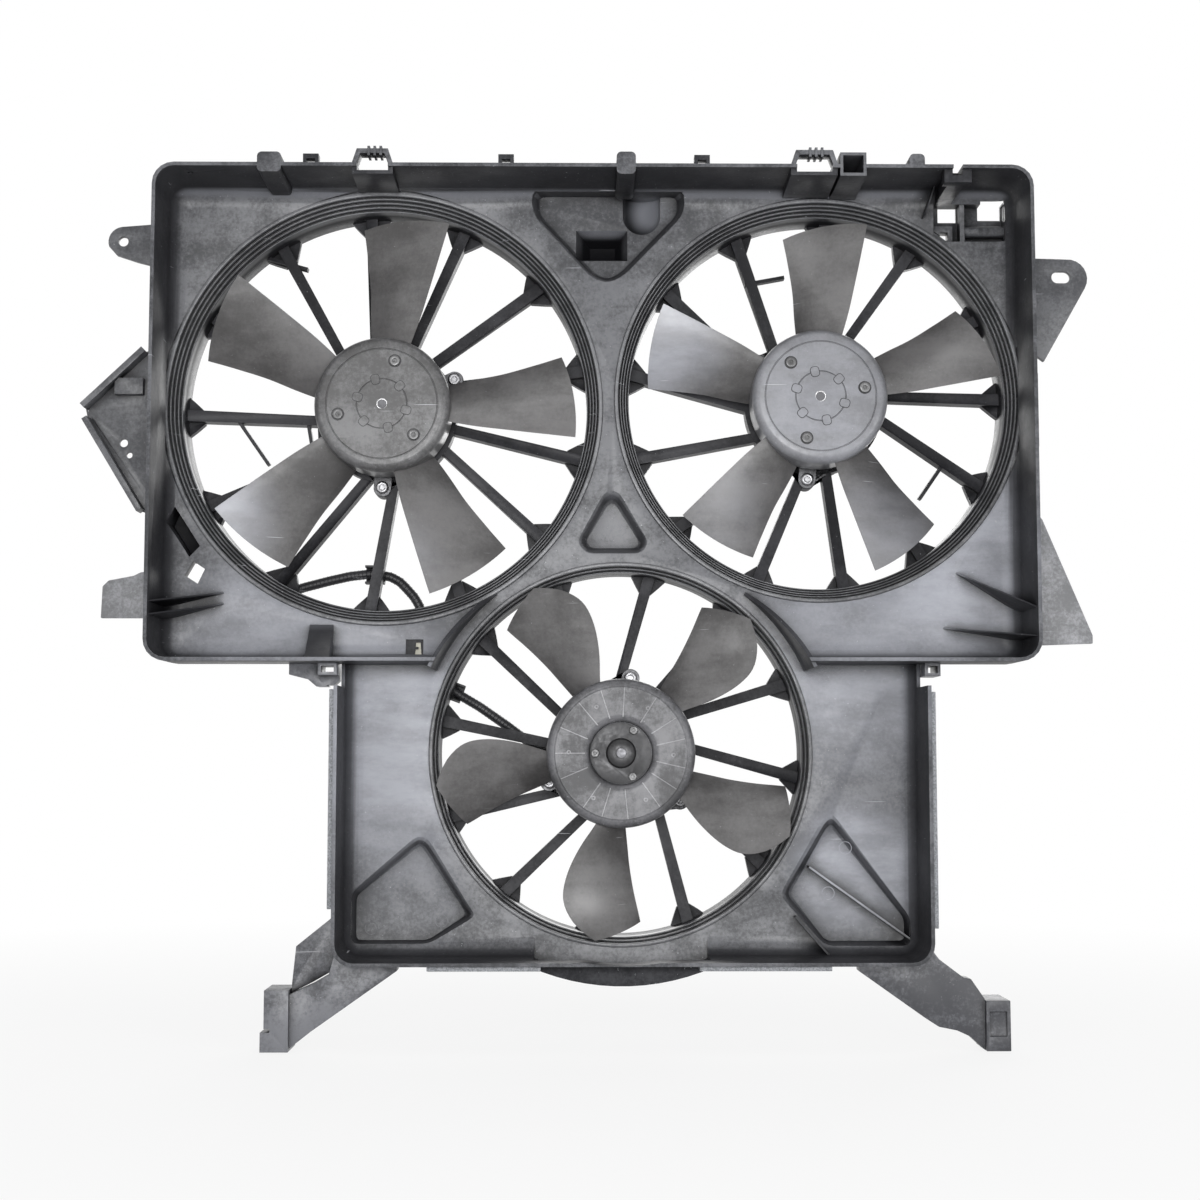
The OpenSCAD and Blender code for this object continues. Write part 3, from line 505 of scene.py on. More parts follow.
@dataclass(frozen=True)
class MouldedPlastic:
    """Aged filled plastic: cloudy colour, wiping streaks, dust specks and a fine grain, with
    painted
    light and shade: shade in corners, on walls, on sideways faces and past a pit's depth, and
    light in patches, in spots and on fillets that face down.

    Places are in metres. Each painted light patch is x, z, radius and strength, at the depth plane.
    Each painted light spot in lit is x, y, z, radius and strength.
    """

    name: str
    dark: Colour
    light: Colour
    dust: Colour = (0.56, 0.57, 0.60)
    # colour of the painted light in patches, spots and on fillets
    painted_light_tone: Colour = (0.36, 0.37, 0.41)
    shade: Colour = SHADE_BLACK
    roughness: float = 0.36
    shine: float = 0.5
    cloud: float = 7.0  # clouds per metre
    streak: float = 0.3  # share of the streaks in the clouds
    specks: float = 0.35
    mottle: float = 0.16
    crevice_shade: float = 0.0  # reach of the painted shade in the piece's own corners
    pit: float | None = None  # depth past which the colour turns to shade
    wall: float = 1.0  # painted light level of the walls in front of the floor; below 1 they are darkened as painted shade
    sideways_shade: float = 0.0  # painted shade on what faces sideways
    plane: float = FLOOR_Y * MM
    # painted pools of light
    painted_light_patches: tuple[tuple[float, ...], ...] = ()
    lit: tuple[tuple[float, ...], ...] = ()

    def build(self) -> bpy.types.Material:
        """Makes the material.

        Returns:
            The material.
        """
        s = Shader(self.name)
        share = self.clouds(s)
        base = self.paint_light_and_shade(s, s.mix(s.ramp(share, 0.0, 1.0), self.dark, self.light))
        # painted shade: corners darkened by ambient occlusion
        if self.crevice_shade:
            base = s.mix(s.ramp(s.crevice(self.crevice_shade), 0.45, 0.96, 0.95, 0.0), base, SHADE_BLACK)
        speck = s.ramp(s.noise(520, 2, 0.5), 0.72, 0.78, 0.0, self.specks)
        scratch = s.ramp(s.noise(30, 1, 0.4, (0.6, 1, 24), 38), 0.79, 0.82, 0.0, 0.6)
        shown = s.mix(s.math("MAXIMUM", speck, scratch), base, self.dust)
        wall_shine = self.shine * (DULL_WALL if self.wall < 1 else 1.0)
        gloss = s.ramp(s.depth(), *GLOSS_FOOT, wall_shine, self.shine)
        if self.pit is not None:
            dim = s.ramp(s.depth(), self.pit, self.pit + PIT_TONE)
            dull = s.ramp(s.depth(), self.pit, self.pit + PIT_GLOSS, 1.0, 0.08)
            shown = s.mix(dim, shown, self.shade)
            gloss = s.math("MULTIPLY", gloss, dull)
        dents = s.bump(s.noise(38, 3, 0.5), 0.00035, 0.3)
        return s.finished({
            "Base Color": self.brighten(s, shown),
            "Roughness": s.ramp(share, 0.0, 1.0, self.roughness + 0.07, self.roughness - 0.05),
            "Normal": s.bump(s.noise(1500, 2, 0.5), 0.00004, 0.6, dents),
            "Specular IOR Level": gloss})

    def clouds(self, s: Shader) -> Socket:
        """Joins clouds, wiping streaks and fine mottle.

        Args:
            s: shader being built.

        Returns:
            The share of the light colour.
        """
        broad = s.ramp(s.noise(self.cloud, 5, 0.6), 0.30, 0.70)
        wiped = s.ramp(s.noise(9, 5, 0.65, (1, 1, 4.5), 24), 0.35, 0.70)
        fine = s.math("ADD", s.ramp(s.noise(330, 4, 0.75), 0.30, 0.70, -self.mottle, self.mottle),
                      s.ramp(s.noise(45, 4, 0.65), 0.28, 0.72, -self.mottle, self.mottle))
        streaks = s.math("ADD", s.math("MULTIPLY", wiped, self.streak), fine)
        return s.math("ADD", s.math("MULTIPLY", broad, 1 - self.streak), streaks)

    def paint_light_and_shade(self, s: Shader, base: Socket) -> Socket:
        """Paints pools of light, and paints shade on walls and on what faces sideways.

        Args:
            s: shader being built.
            base: colour so far.

        Returns:
            The colour with the painted light, the painted shade on walls and slopes and the painted
            fillet highlights over them.
        """
        # painted pools of light, broken up by cloud noise
        for x, z, radius, strength in self.painted_light_patches:
            cloud = s.ramp(s.noise(16, 6, 0.66, (1, 1, 2.6), 14), 0.32, 0.66, 0.58, 1.0)
            near = s.near((x, self.plane, z), radius, 0.35, strength)
            base = s.mix(s.math("MULTIPLY", near, cloud), base, self.painted_light_tone)
        # painted shade on the walls between the rim and the floor
        if self.wall < 1:
            front = s.ramp(s.depth(), *WALL_FOOT, 1 - self.wall, 0.0)
            rim = s.ramp(s.depth(), *RIM_FACE)
            base = s.mix(s.math("MULTIPLY", front, rim), base, WALL_SHADE)
        # painted shade on what faces sideways, darker the more it turns from the front
        if self.sideways_shade:
            across, up = s.facing()
            level = s.math("ABSOLUTE", across)
            base = s.mix(s.ramp(level, 0.62, 0.95, self.sideways_shade, 0.0), base, SLOPE_SHADE)
            # painted highlight on fillets that face down
            under = s.ramp(up, -0.80, -0.45, 1.0, 0.0)
            fillet_highlight = s.math("MULTIPLY", under, s.ramp(level, 0.15, 0.60))
            base = s.mix(s.math("MULTIPLY", fillet_highlight, 0.30), base, self.painted_light_tone)
        return base

    def brighten(self, s: Shader, base: Socket) -> Socket:
        """Adds light spots in small hollows that catch the light.

        Args:
            s: shader being built.
            base: colour so far.

        Returns:
            The colour with the spots.
        """
        for x, y, z, radius, strength in self.lit:
            base = s.mix(s.near((x, y, z), radius, 0.3, strength), base, self.painted_light_tone)
        return base


@dataclass(frozen=True)
class Metal:
    """Plain metal with fine turning or rolling marks."""

    name: str
    colour: Colour
    roughness: float = 0.32
    metallic: float = 1.0
    stretch: Point = (1, 18, 1)

    def build(self) -> bpy.types.Material:
        """Makes the material.

        Returns:
            The material.
        """
        s = Shader(self.name)
        lines = s.noise(260, 3, 0.6, self.stretch)
        stain = s.ramp(s.noise(60, 3, 0.6), 0.35, 0.7)
        worn = tuple(c * 0.62 for c in self.colour)
        return s.finished({
            "Base Color": s.mix(stain, self.colour, worn),
            "Roughness": s.ramp(lines, 0.3, 0.7, self.roughness - 0.08, self.roughness + 0.14),
            "Normal": s.bump(lines, 0.00003, 0.4),
            "Metallic": self.metallic})


@dataclass(frozen=True)
class Foam:
    """Soft dark strip with open pores."""

    name: str
    colour: Colour

    def build(self) -> bpy.types.Material:
        """Makes the material.

        Returns:
            The material.
        """
        s = Shader(self.name)
        pores = s.noise(900, 3, 0.7)
        hollow = tuple(c * 0.5 for c in self.colour)
        return s.finished({
            "Base Color": s.mix(s.ramp(pores, 0.4, 0.6), hollow, self.colour),
            "Roughness": s.ramp(s.noise(40, 2), 0.3, 0.7, 0.75, 0.92),
            "Normal": s.bump(pores, 0.0002, 0.7)})


# Several finishes below paint light and shade: shade in their own corners, on walls, on sideways
# faces and past a pit's depth, and light in patches and spots.
SHELL = MouldedPlastic(
    "shell_plastic", (0.052, 0.053, 0.057), (0.140, 0.142, 0.152), pit=0.089, wall=0.34,
    shine=0.26, mottle=0.24, crevice_shade=0.014, sideways_shade=0.74, lit=((0.054, 0.104, -0.014, 0.028, 0.42),),
    painted_light_patches=((-0.275, -0.400, 0.110, 0.55), (0.236, -0.400, 0.130, 0.58), (0.335, -0.330, 0.110, 0.80),
          (-0.175, -0.480, 0.140, 0.85), (0.226, -0.460, 0.110, 0.20), (0.225, -0.590, 0.075, 0.90),
          (-0.150, -0.610, 0.060, 0.16)))
BELL = MouldedPlastic(
    "bell_plastic", (0.060, 0.061, 0.065), (0.165, 0.167, 0.176), roughness=0.32, shine=0.32,
    mottle=0.22, crevice_shade=0.0028, pit=0.088, shade=(0.018, 0.018, 0.020), sideways_shade=0.72)
FRAME = MouldedPlastic(
    "stator_plastic", (0.014, 0.014, 0.016), (0.040, 0.040, 0.044), streak=0.2, specks=0.2,
    roughness=0.44, shine=0.12, crevice_shade=0.008)
# The blades' patches are painted sheen.
BLADE = MouldedPlastic(
    "fan_plastic", (0.050, 0.048, 0.048), (0.134, 0.131, 0.132), roughness=0.33, cloud=10,
    specks=0.2, mottle=0.09, plane=0.045,
    painted_light_patches=((0.050, -0.140, 0.085, 0.76), (-0.335, -0.300, 0.085, 0.80), (0.254, -0.298, 0.075, 0.34),
          (-0.168, -0.330, 0.060, 0.22), (0.118, -0.290, 0.065, 0.22)))
# The hub's patch is painted light on the right hub.
HUB = MouldedPlastic(
    "hub_plastic", (0.060, 0.059, 0.060), (0.140, 0.140, 0.144), roughness=0.33, cloud=14,
    shine=0.4, mottle=0.24, crevice_shade=0.0022, plane=0.010, painted_light_patches=((0.195, -0.195, 0.120, 0.58),))
HUB_LOW = MouldedPlastic(
    "hub_low_plastic", (0.050, 0.050, 0.053), (0.130, 0.130, 0.139), cloud=14, shine=0.3,
    mottle=0.24, crevice_shade=0.0026)
RIB = MouldedPlastic("rib_plastic", (0.170, 0.170, 0.178), (0.320, 0.320, 0.336), shine=0.3)
SIDE = MouldedPlastic(
    "bracket_plastic", (0.052, 0.053, 0.058), (0.120, 0.122, 0.130), shine=0.28, mottle=0.24,
    crevice_shade=0.009)
WING = MouldedPlastic(
    "wing_plastic", (0.150, 0.152, 0.158), (0.310, 0.313, 0.330), roughness=0.42, shine=0.3,
    mottle=0.24)
FOOT = MouldedPlastic(
    "foot_plastic", (0.052, 0.053, 0.059), (0.165, 0.168, 0.182), shine=0.3, mottle=0.24,
    crevice_shade=0.012)
BLACK = MouldedPlastic(
    "black_plastic", (0.010, 0.010, 0.012), (0.030, 0.030, 0.033), roughness=0.40, specks=0.1,
    shine=0.35)
PLUG = MouldedPlastic("plug_plastic", (0.42, 0.40, 0.33), (0.60, 0.58, 0.50), roughness=0.5)
STEEL = Metal("steel", (0.62, 0.62, 0.63))
SCREW = Metal("screw_steel", (0.30, 0.30, 0.31), 0.36)
HEAD = Metal("hub_screw_steel", (0.13, 0.13, 0.132), 0.42, 0.9)
PLATE = Metal("hub_plate", (0.060, 0.060, 0.062), 0.44, 0.8, (1, 1, 1))
# steel darkened as painted shade, for the shafts in the hubs' dark holes and for the bearings
SHADED_SHAFT = Metal("shaft_steel", (0.085, 0.085, 0.09), 0.36)
DARK_STEEL = Metal("can_steel", (0.10, 0.10, 0.105), 0.42, 0.7)
LAMINATION = Metal("lamination", (0.45, 0.42, 0.40), 0.4, stretch=(1, 60, 1))
COPPER = Metal("copper", (0.78, 0.42, 0.24))
MAGNET = Metal("magnet", (0.12, 0.12, 0.13), 0.6, 0.3)
CARBON = Metal("carbon", (0.05, 0.05, 0.05), 0.6, 0.1)
STRIP = Foam("strip_foam", (0.30, 0.31, 0.33))
Finish = MouldedPlastic | Metal | Foam


# ---------------------------------------------------------------- repeated units


def geometry_tree(name: str, inputs: dict[str, str | float], nodes: dict[str, tuple],
                  wires: tuple[str, ...]) -> bpy.types.NodeTree:
    """Builds a Geometry Nodes tree that takes and gives a geometry.

    Args:
        name: name of the tree.
        inputs: kind of each further input, or the default of a number.
        nodes: type of each node and what its inputs and options are set to.
        wires: joined sockets as "node.output > node.input"; given and out are the tree's ends.

    Returns:
        The tree.
    """
    tree = bpy.data.node_groups.new(name, "GeometryNodeTree")
    new_socket = tree.interface.new_socket
    new_socket("Geometry", in_out="INPUT", socket_type="NodeSocketGeometry")
    for key, kind in inputs.items():
        if isinstance(kind, str):
            new_socket(key, in_out="INPUT", socket_type="NodeSocket" + kind)
        else:
            new_socket(key, in_out="INPUT", socket_type="NodeSocketFloat").default_value = kind
    new_socket("Geometry", in_out="OUTPUT", socket_type="NodeSocketGeometry")
    made = {"given": tree.nodes.new("NodeGroupInput"), "out": tree.nodes.new("NodeGroupOutput")}
    for key, (kind, settings) in nodes.items():
        made[key] = tree.nodes.new(kind)
        for setting, value in settings.items():
            if setting in made[key].inputs:
                made[key].inputs[setting].default_value = value
            else:
                setattr(made[key], setting, value)
    for wire in wires:
        (source, output), (target, taken) = (end.split(".") for end in wire.split(" > "))
        tree.links.new(made[source].outputs[output], made[target].inputs[taken])
    return tree


def place_tree() -> bpy.types.NodeTree:
    """Builds the tree that sets a unit on each point, turned about Y by the point's angle.

    Returns:
        The tree, with inputs Unit, Size and Finish.
    """
    return geometry_tree("unit_on_places", {"Unit": "Object", "Size": 1.0, "Finish": "Material"}, {
        "points": ("GeometryNodeMeshToPoints", {}),
        "unit": ("GeometryNodeObjectInfo", {}),
        "turn": ("GeometryNodeInputNamedAttribute", {"data_type": "FLOAT", "Name": "turn"}),
        "angles": ("ShaderNodeCombineXYZ", {}),
        "rotate": ("FunctionNodeEulerToRotation", {}),
        "copies": ("GeometryNodeInstanceOnPoints", {}),
        "real": ("GeometryNodeRealizeInstances", {}),
        "finish": ("GeometryNodeSetMaterial", {}),
    }, (
        "given.Geometry > points.Mesh", "given.Unit > unit.Object", "turn.Attribute > angles.Y",
        "angles.Vector > rotate.Euler", "points.Points > copies.Points",
        "unit.Geometry > copies.Instance", "rotate.Rotation > copies.Rotation",
        "given.Size > copies.Scale", "copies.Instances > real.Geometry",
        "real.Geometry > finish.Geometry", "given.Finish > finish.Material",
        "finish.Geometry > out.Geometry"))


def conduit_tree() -> bpy.types.NodeTree:
    """Builds the tree that turns a path into a ribbed conduit.

    Returns:
        The tree, with inputs Radius, Rib, Pitch and Finish.
    """
    sizes = {"Radius": 0.004, "Rib": 0.0003, "Pitch": 0.0026, "Finish": "Material"}
    return geometry_tree("ribbed_conduit", sizes, {
        "path": ("GeometryNodeMeshToCurve", {}),
        "even": ("GeometryNodeResampleCurve", {"mode": "LENGTH"}),
        "core_ring": ("GeometryNodeCurvePrimitiveCircle", {"Resolution": 20}),
        "core": ("GeometryNodeCurveToMesh", {"Fill Caps": True}),
        "points": ("GeometryNodeCurveToPoints", {"mode": "EVALUATED"}),
        "rib_ring": ("GeometryNodeCurvePrimitiveCircle", {"Resolution": 20}),
        "bead": ("GeometryNodeCurvePrimitiveCircle", {"Resolution": 6}),
        "rib": ("GeometryNodeCurveToMesh", {}),
        "copies": ("GeometryNodeInstanceOnPoints", {}),
        "both": ("GeometryNodeJoinGeometry", {}),
        "real": ("GeometryNodeRealizeInstances", {}),
        "finish": ("GeometryNodeSetMaterial", {}),
    }, (
        "given.Geometry > path.Mesh", "path.Curve > even.Curve", "given.Pitch > even.Length",
        "given.Radius > core_ring.Radius", "given.Radius > rib_ring.Radius",
        "given.Rib > bead.Radius", "even.Curve > core.Curve",
        "core_ring.Curve > core.Profile Curve", "even.Curve > points.Curve",
        "rib_ring.Curve > rib.Curve", "bead.Curve > rib.Profile Curve",
        "points.Points > copies.Points", "points.Rotation > copies.Rotation",
        "rib.Mesh > copies.Instance", "core.Mesh > both.Geometry",
        "copies.Instances > both.Geometry", "both.Geometry > real.Geometry",
        "real.Geometry > finish.Geometry", "given.Finish > finish.Material",
        "finish.Geometry > out.Geometry"))


def run_tree(obj: bpy.types.Object, tree: bpy.types.NodeTree, values: dict[str, object]) -> None:
    """Runs a tree on an object and leaves a plain mesh.

    Args:
        obj: object whose mesh the tree starts from.
        tree: Geometry Nodes tree.
        values: what the tree's inputs are set to, by name.
    """
    modifier = obj.modifiers.new("tree", "NODES")
    modifier.node_group = tree
    keys = {s.name: s.identifier for s in tree.interface.items_tree if s.in_out == "INPUT"}
    for name, value in values.items():
        modifier[keys[name]] = value
    freeze(obj)


def on_circle(centre: Pair, radius: float, y: float, angles: Sequence[float]) -> list[Place]:
    """Spreads places on a circle about an axis along Y.

    Args:
        centre: x and z of the axis.
        radius: radius of the circle.
        y: where it lies along the axis.
        angles: where the places stand, in degrees.

    Returns:
        The places, turned to face outwards.
    """
    turns = [(a, math.radians(a)) for a in angles]
    return [(centre[0] + radius * math.cos(t), y, centre[1] + radius * math.sin(t), -a)
            for a, t in turns]


class Workshop:
    """Keeps one material for each finish and the tree for repeated units, and makes pieces."""

    def __init__(self) -> None:
        """Starts with no material and the shared tree."""
        self.materials: dict[str, bpy.types.Material] = {}
        self.places = place_tree()

    def finish(self, finish: Finish) -> bpy.types.Material:
        """Makes a finish's material on its first use.

        Args:
            finish: finish of a piece.

        Returns:
            The material.
        """
        if finish.name not in self.materials:
            self.materials[finish.name] = finish.build()
        return self.materials[finish.name]

    def soft(self, node: str, edge: float, finish: Finish, slot: str, name: str = "",
             segments: int = 2) -> bpy.types.Object:
        """Makes the rounded and dressed piece that stands for a CAD node.

        Args:
            node: CAD node.
            edge: width of the rounding in millimetres.
            finish: finish of the piece.
            slot: not used.
            name: name of the piece, where it isn't the node's with _soft.
            segments: steps of the rounding.

        Returns:
            The piece.
        """
        piece = softened(node, name or node + "_soft", edge, segments)
        return dress(piece, self.finish(finish))

    def own(self, name: str, shape: Shape, finish: Finish, body: str, node: str = "",
            smooth: float = 40.0) -> bpy.types.Object:
        """Makes a closed piece from points and faces.

        Args:
            name: name of the piece.
            shape: points and faces.
            finish: finish of the piece.
            body: CAD body that the piece rides on.
            node: CAD node that it stands for, if any.
            smooth: angle in degrees under which an edge is shaded smooth.

        Returns:
            The piece.
        """
        piece = dress(solid(name, shape, smooth), self.finish(finish))
        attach(piece, body)
        if node:
            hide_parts(node)
        return piece

    def repeated(self, name: str, shape: Shape, places: list[Place], finish: Finish, body: str,
                 smooth: float = 40.0) -> bpy.types.Object:
        """Makes one piece of many copies of a closed shape.

        Args:
            name: name of the piece.
            shape: points and faces of one copy.
            places: x, y, z in millimetres and the turn about Y in degrees.
            finish: finish of the copies.
            body: CAD body that the piece rides on.
            smooth: angle in degrees under which an edge is shaded smooth.

        Returns:
            The piece.
        """
        unit = solid(name + "_unit", shape, smooth)
        mesh = bpy.data.meshes.new(name)
        mesh.from_pydata([metres(place[:3]) for place in places], [], [])
        turns = mesh.attributes.new("turn", "FLOAT", "POINT")
        turns.data.foreach_set("value", [math.radians(place[3]) for place in places])
        piece = linked(name, mesh)
        run_tree(piece, self.places, {"Unit": unit, "Finish": self.finish(finish)})
        bpy.data.objects.remove(unit)
        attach(piece, body)
        return piece


# ---------------------------------------------------------------- sub-assemblies


@dataclass
class Shell:
    """The moulded shroud with its clips and ejector marks."""

    edge: float = 0.9
    clip_edge: float = 0.6
    marks: tuple[Pair, ...] = (
        (-279, -13), (-70, -13), (-356, -85), (360, -282), (309, -351), (359, -347), (240, -387),
        (361, -398), (253, -432), (253, -500), (256, -578), (214, -571), (199, -609), (157, -635),
        (-182, -437), (-184, -501), (-185, -568), (-130, -568), (-187, -638), (-128, -632))

    def build(self, shop: Workshop) -> list[bpy.types.Object]:
        """Makes the shell, the clips and the marks.

        Args:
            shop: materials and shared tree.

        Returns:
            The pieces.
        """
        ring = revolve([(4.9, -0.2), (5.5, -0.2), (5.4, 0.1), (5.0, 0.1)], 32)
        places = [(x, FLOOR_Y - 0.05, z, 0) for x, z in self.marks]
        return [shop.soft("shroud", self.edge, SHELL, "black_plastic", "shroud_shell", 3),
                shop.soft("top_clips", self.clip_edge, SHELL, "black_plastic"),
                shop.repeated("ejector_marks", ring, places, SHELL, "shroud")]


@dataclass
class SidePieces:
    """Ears, wings, bracket, feet and sealing strips."""

    edge: float = 0.7
    strip_edge: float = 0.5

    def build(self, shop: Workshop) -> list[bpy.types.Object]:
        """Makes the pieces, each with rounded edges.

        Args:
            shop: materials and shared tree.

        Returns:
            The pieces.
        """
        finishes = {"ear_left": SIDE, "ear_right": SIDE, "wing_left": WING, "wing_right": WING,
                    "side_bracket": SIDE, "foot_left": FOOT, "foot_right": FOOT,
                    "rim_bosses": FOOT}
        made = [shop.soft(node, self.edge, finish, "black_plastic")
                for node, finish in finishes.items()]
        return made + [shop.soft("edge_strips", self.strip_edge, STRIP, "foam")]


@dataclass
class BellMouth:
    """A stepped bell mouth and its barrel, turned about the fan's axis."""

    side: Side
    centre: Pair
    outer: float
    inner: float
    steps: int
    front: float = 70.0
    fall: float = 20.0  # from the first tread to the barrel
    back: float = 122.0
    wall: float = 3.0
    lip: float = 1.2
    flange: Pair = (75.0, 76.5)  # y of the faces of the flange under the first tread
    neck: float = 96.0  # y where the barrel gets its own wall thickness
    groove: Pair = (0.42, 1.5)  # width as a share of a tread, and depth
    edge: float = 0.7
    segments: int = 240
    smooth: float = 50.0

    def profile(self) -> list[Pair]:
        """Draws the bell's section with its treads and grooves.

        Returns:
            The outline, as radius and y.
        """
        rim, lip, foot = self.outer - 0.3, self.outer - self.lip, self.outer + 4
        tread, rise = (lip - self.inner) / self.steps, self.fall / self.steps
        width, depth = tread * self.groove[0], self.groove[1]
        line: list[Pair] = [(rim, self.flange[0]), (rim, self.front)]
        for k in range(1, self.steps + 1):
            edge, low = lip - tread * k, self.front + rise * k
            line.append((edge, low - rise))
            if k < self.steps:
                line += [(edge, low + depth), (edge - width, low + depth), (edge - width, low)]
        barrel = self.inner + self.wall
        return line + [(self.inner, self.back), (barrel, self.back), (barrel, self.neck),
                       (rim, self.flange[1]), (foot, self.flange[1]), (foot, self.flange[0])]

    def build(self, shop: Workshop) -> list[bpy.types.Object]:
        """Makes the turned piece that stands for the CAD bell.

        Args:
            shop: materials and shared tree.

        Returns:
            The piece, in a list.
        """
        name = f"bell_{self.side.value}"
        shape = revolve(rounded(self.profile(), self.edge, 2), self.segments, self.centre)
        return [shop.own(name + "_turned", shape, BELL, "shroud", name,
                         self.smooth)]


@dataclass
class Stator:
    """Spokes and motor ring of one fan."""

    side: Side
    edge: float = 1.1

    def build(self, shop: Workshop) -> list[bpy.types.Object]:
        """Makes the softened stator."""
        return [shop.soft(f"stator_{self.side.value}", self.edge, FRAME, "black_plastic")]


@dataclass
class Motor:
    """Can, end cap and screws of one motor, and the parts inside."""

    side: Side
    centre: Pair
    screw_phase: float
    screw_circle: float = 66.0
    screw_y: float = 98.5
    edge: float = 0.7

    def build(self, shop: Workshop) -> list[bpy.types.Object]:
        """Makes the outside pieces and dresses those inside.

        Args:
            shop: materials and shared tree.

        Returns:
            The pieces.
        """
        end = self.side.value
        can = shop.soft(f"can_{end}", self.edge, DARK_STEEL, "can_steel")
        cap = shop.soft(f"end_cap_{end}", self.edge, BLACK, "black_plastic")
        inside = {"armature": (LAMINATION, "lamination"), "commutator": (COPPER, "copper"),
                  "magnets": (MAGNET, "magnet"), "brushes": (CARBON, "carbon"),
                  "bearings": (SHADED_SHAFT, "steel"), "shaft": (SHADED_SHAFT, "steel")}
        for part, (finish, slot) in inside.items():
            dress(frame["nodes"][f"{part}_{end}"], shop.finish(finish))
        circle = on_circle(self.centre, self.screw_circle, self.screw_y,
                           [self.screw_phase + 120 * k for k in range(3)])
        places = [(*place[:3], -17 * k) for k, place in enumerate(circle)]
        heads = shop.repeated(f"motor_screws_{end}_turned", self.screw(), places, SCREW, "shroud")
        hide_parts(f"motor_screws_{end}")
        return [can, cap, heads]

    def screw(self) -> Shape:
        """Shapes a screw: rounded head with a six-sided recess, and its shank.

        Returns:
            Points and faces.
        """
        rows: list[tuple[float, float, bool]] = [
            (0.4, 3.0, True), (2.6, 3.0, True), (2.6, 0.5, True), (3.4, 0.1, False),
            (4.6, 0.3, False), (5.4, 1.1, False), (5.5, 4.4, False), (3.0, 4.4, False),
            (3.0, 20.5, False), (0.4, 20.5, False)]
        n, m, sixth = 36, len(rows), math.pi / 3
        verts: list[Point] = []
        for k in range(n):
            a = WHOLE_TURN * k / n
            flat = math.cos(sixth / 2) / math.cos(a % sixth - sixth / 2)
            reach = [(r * (flat if hexed else 1), y) for r, y, hexed in rows]
            verts += [(r * math.cos(a), y, r * math.sin(a)) for r, y in reach]
        faces = [(k * m + j, k * m + j + 1, (k + 1) % n * m + j + 1, (k + 1) % n * m + j)
                 for k in range(n) for j in range(m - 1)]
        faces += [tuple(k * m for k in range(n)),
                  tuple(k * m + m - 1 for k in range(n - 1, -1, -1))]
        return verts, faces


@dataclass
class Blades:
    """Five lofted blades, unequally spaced.

    Each row holds a share of the span, the angles of the leading and trailing edge, and the
    y of both.
    """

    rows: Rows
    root: float
    tip: float
    drop: float  # how far the tip's trailing end stays inside the tip circle
    thickness: float = 2.6
    chord: float = 40.0  # width taken for the direction of the blade's face
    camber: float = 3.2
    span_steps: int = 26
    chord_steps: int = 18

    def row_at(self, share: float) -> list[float]:
        """Interpolates the rows smoothly.

        Args:
            share: share of the span.

        Returns:
            Angles of the leading and trailing edge, and the y of both.
        """
        rows = self.rows
        k = min(max(i for i, row in enumerate(rows) if row[0] <= share + 1e-9), len(rows) - 2)
        start, end = rows[k][0], rows[k + 1][0]
        span = end - start
        t = (share - start) / span
        out = []
        for c in range(1, 5):
            p1, p2 = rows[k][c], rows[k + 1][c]
            m1 = m2 = p2 - p1
            if k > 0:
                m1 = (p2 - rows[k - 1][c]) / (end - rows[k - 1][0]) * span
            if k + 2 < len(rows):
                m2 = (rows[k + 2][c] - p1) / (rows[k + 2][0] - start) * span
            out.append((2 * t**3 - 3 * t**2 + 1) * p1 + (t**3 - 2 * t**2 + t) * m1
                       + (-2 * t**3 + 3 * t**2) * p2 + (t**3 - t**2) * m2)
        return out

    def ring(self, share: float) -> list[Point]:
        """Draws the closed section of the blade.

        Args:
            share: share of the span.

        Returns:
            Its points, along the front and back again.
        """
        lead, trail, y0, y1 = self.row_at(share)
        fall = y1 - y0
        nx, ny = fall / math.hypot(fall, self.chord), self.chord / math.hypot(fall, self.chord)
        front: list[Point] = []
        back: list[Point] = []
        for k in range(self.chord_steps + 1):
            t = 0.5 - 0.5 * math.cos(math.pi * k / self.chord_steps)
            bulge = math.sin(math.pi * t)
            r = self.root + share * (self.tip - self.drop * t - self.root)
            a = lead + (trail - lead) * t
            y = y0 + fall * t - self.camber * bulge * (1 - 0.4 * share)
            edge = min(1.0, 6 * min(t, 1 - t) + 0.25)
            half = self.thickness * (0.22 + 0.28 * bulge) * edge
            da = math.degrees(nx * half / r)
            for side, row in ((1, front), (-1, back)):
                b = math.radians(a + side * da)
                row.append((r * math.cos(b), y - side * ny * half, r * math.sin(b)))
        return front + back[::-1]

    def unit(self) -> Shape:
        """Shapes one blade about its own axis.

        Returns:
            Points and faces.
        """
        rings = [self.ring(k / self.span_steps) for k in range(self.span_steps + 1)]
        n, last = len(rings[0]), len(rings) - 1
        faces = [(j * n + k, j * n + (k + 1) % n, (j + 1) * n + (k + 1) % n, (j + 1) * n + k)
                 for j in range(last) for k in range(n)]
        faces += [tuple(range(n - 1, -1, -1)), tuple(last * n + k for k in range(n))]
        return [p for ring in rings for p in ring], faces


UPPER_ROWS: Rows = (
    (0, -18, 18.5, 64, 91), (0.2, -17, 16, 62.5, 90.5), (0.45, -15.5, 13.6, 61, 89.5),
    (0.75, -14.3, 13, 60.5, 88), (1, -13.6, 13, 60.5, 87))
LOWER_ROWS: Rows = (
    (0, -12, 11.5, 63, 90), (0.2, -15.6, 11.8, 61, 89), (0.4, -16.8, 12, 59.5, 88),
    (0.6, -16, 12.6, 58.5, 87), (0.75, -13.6, 13.2, 58, 86), (0.88, -8.6, 13.8, 57.5, 85.5),
    (0.96, -3.6, 14.1, 57.2, 85.2), (1, -0.6, 14.2, 57, 85))


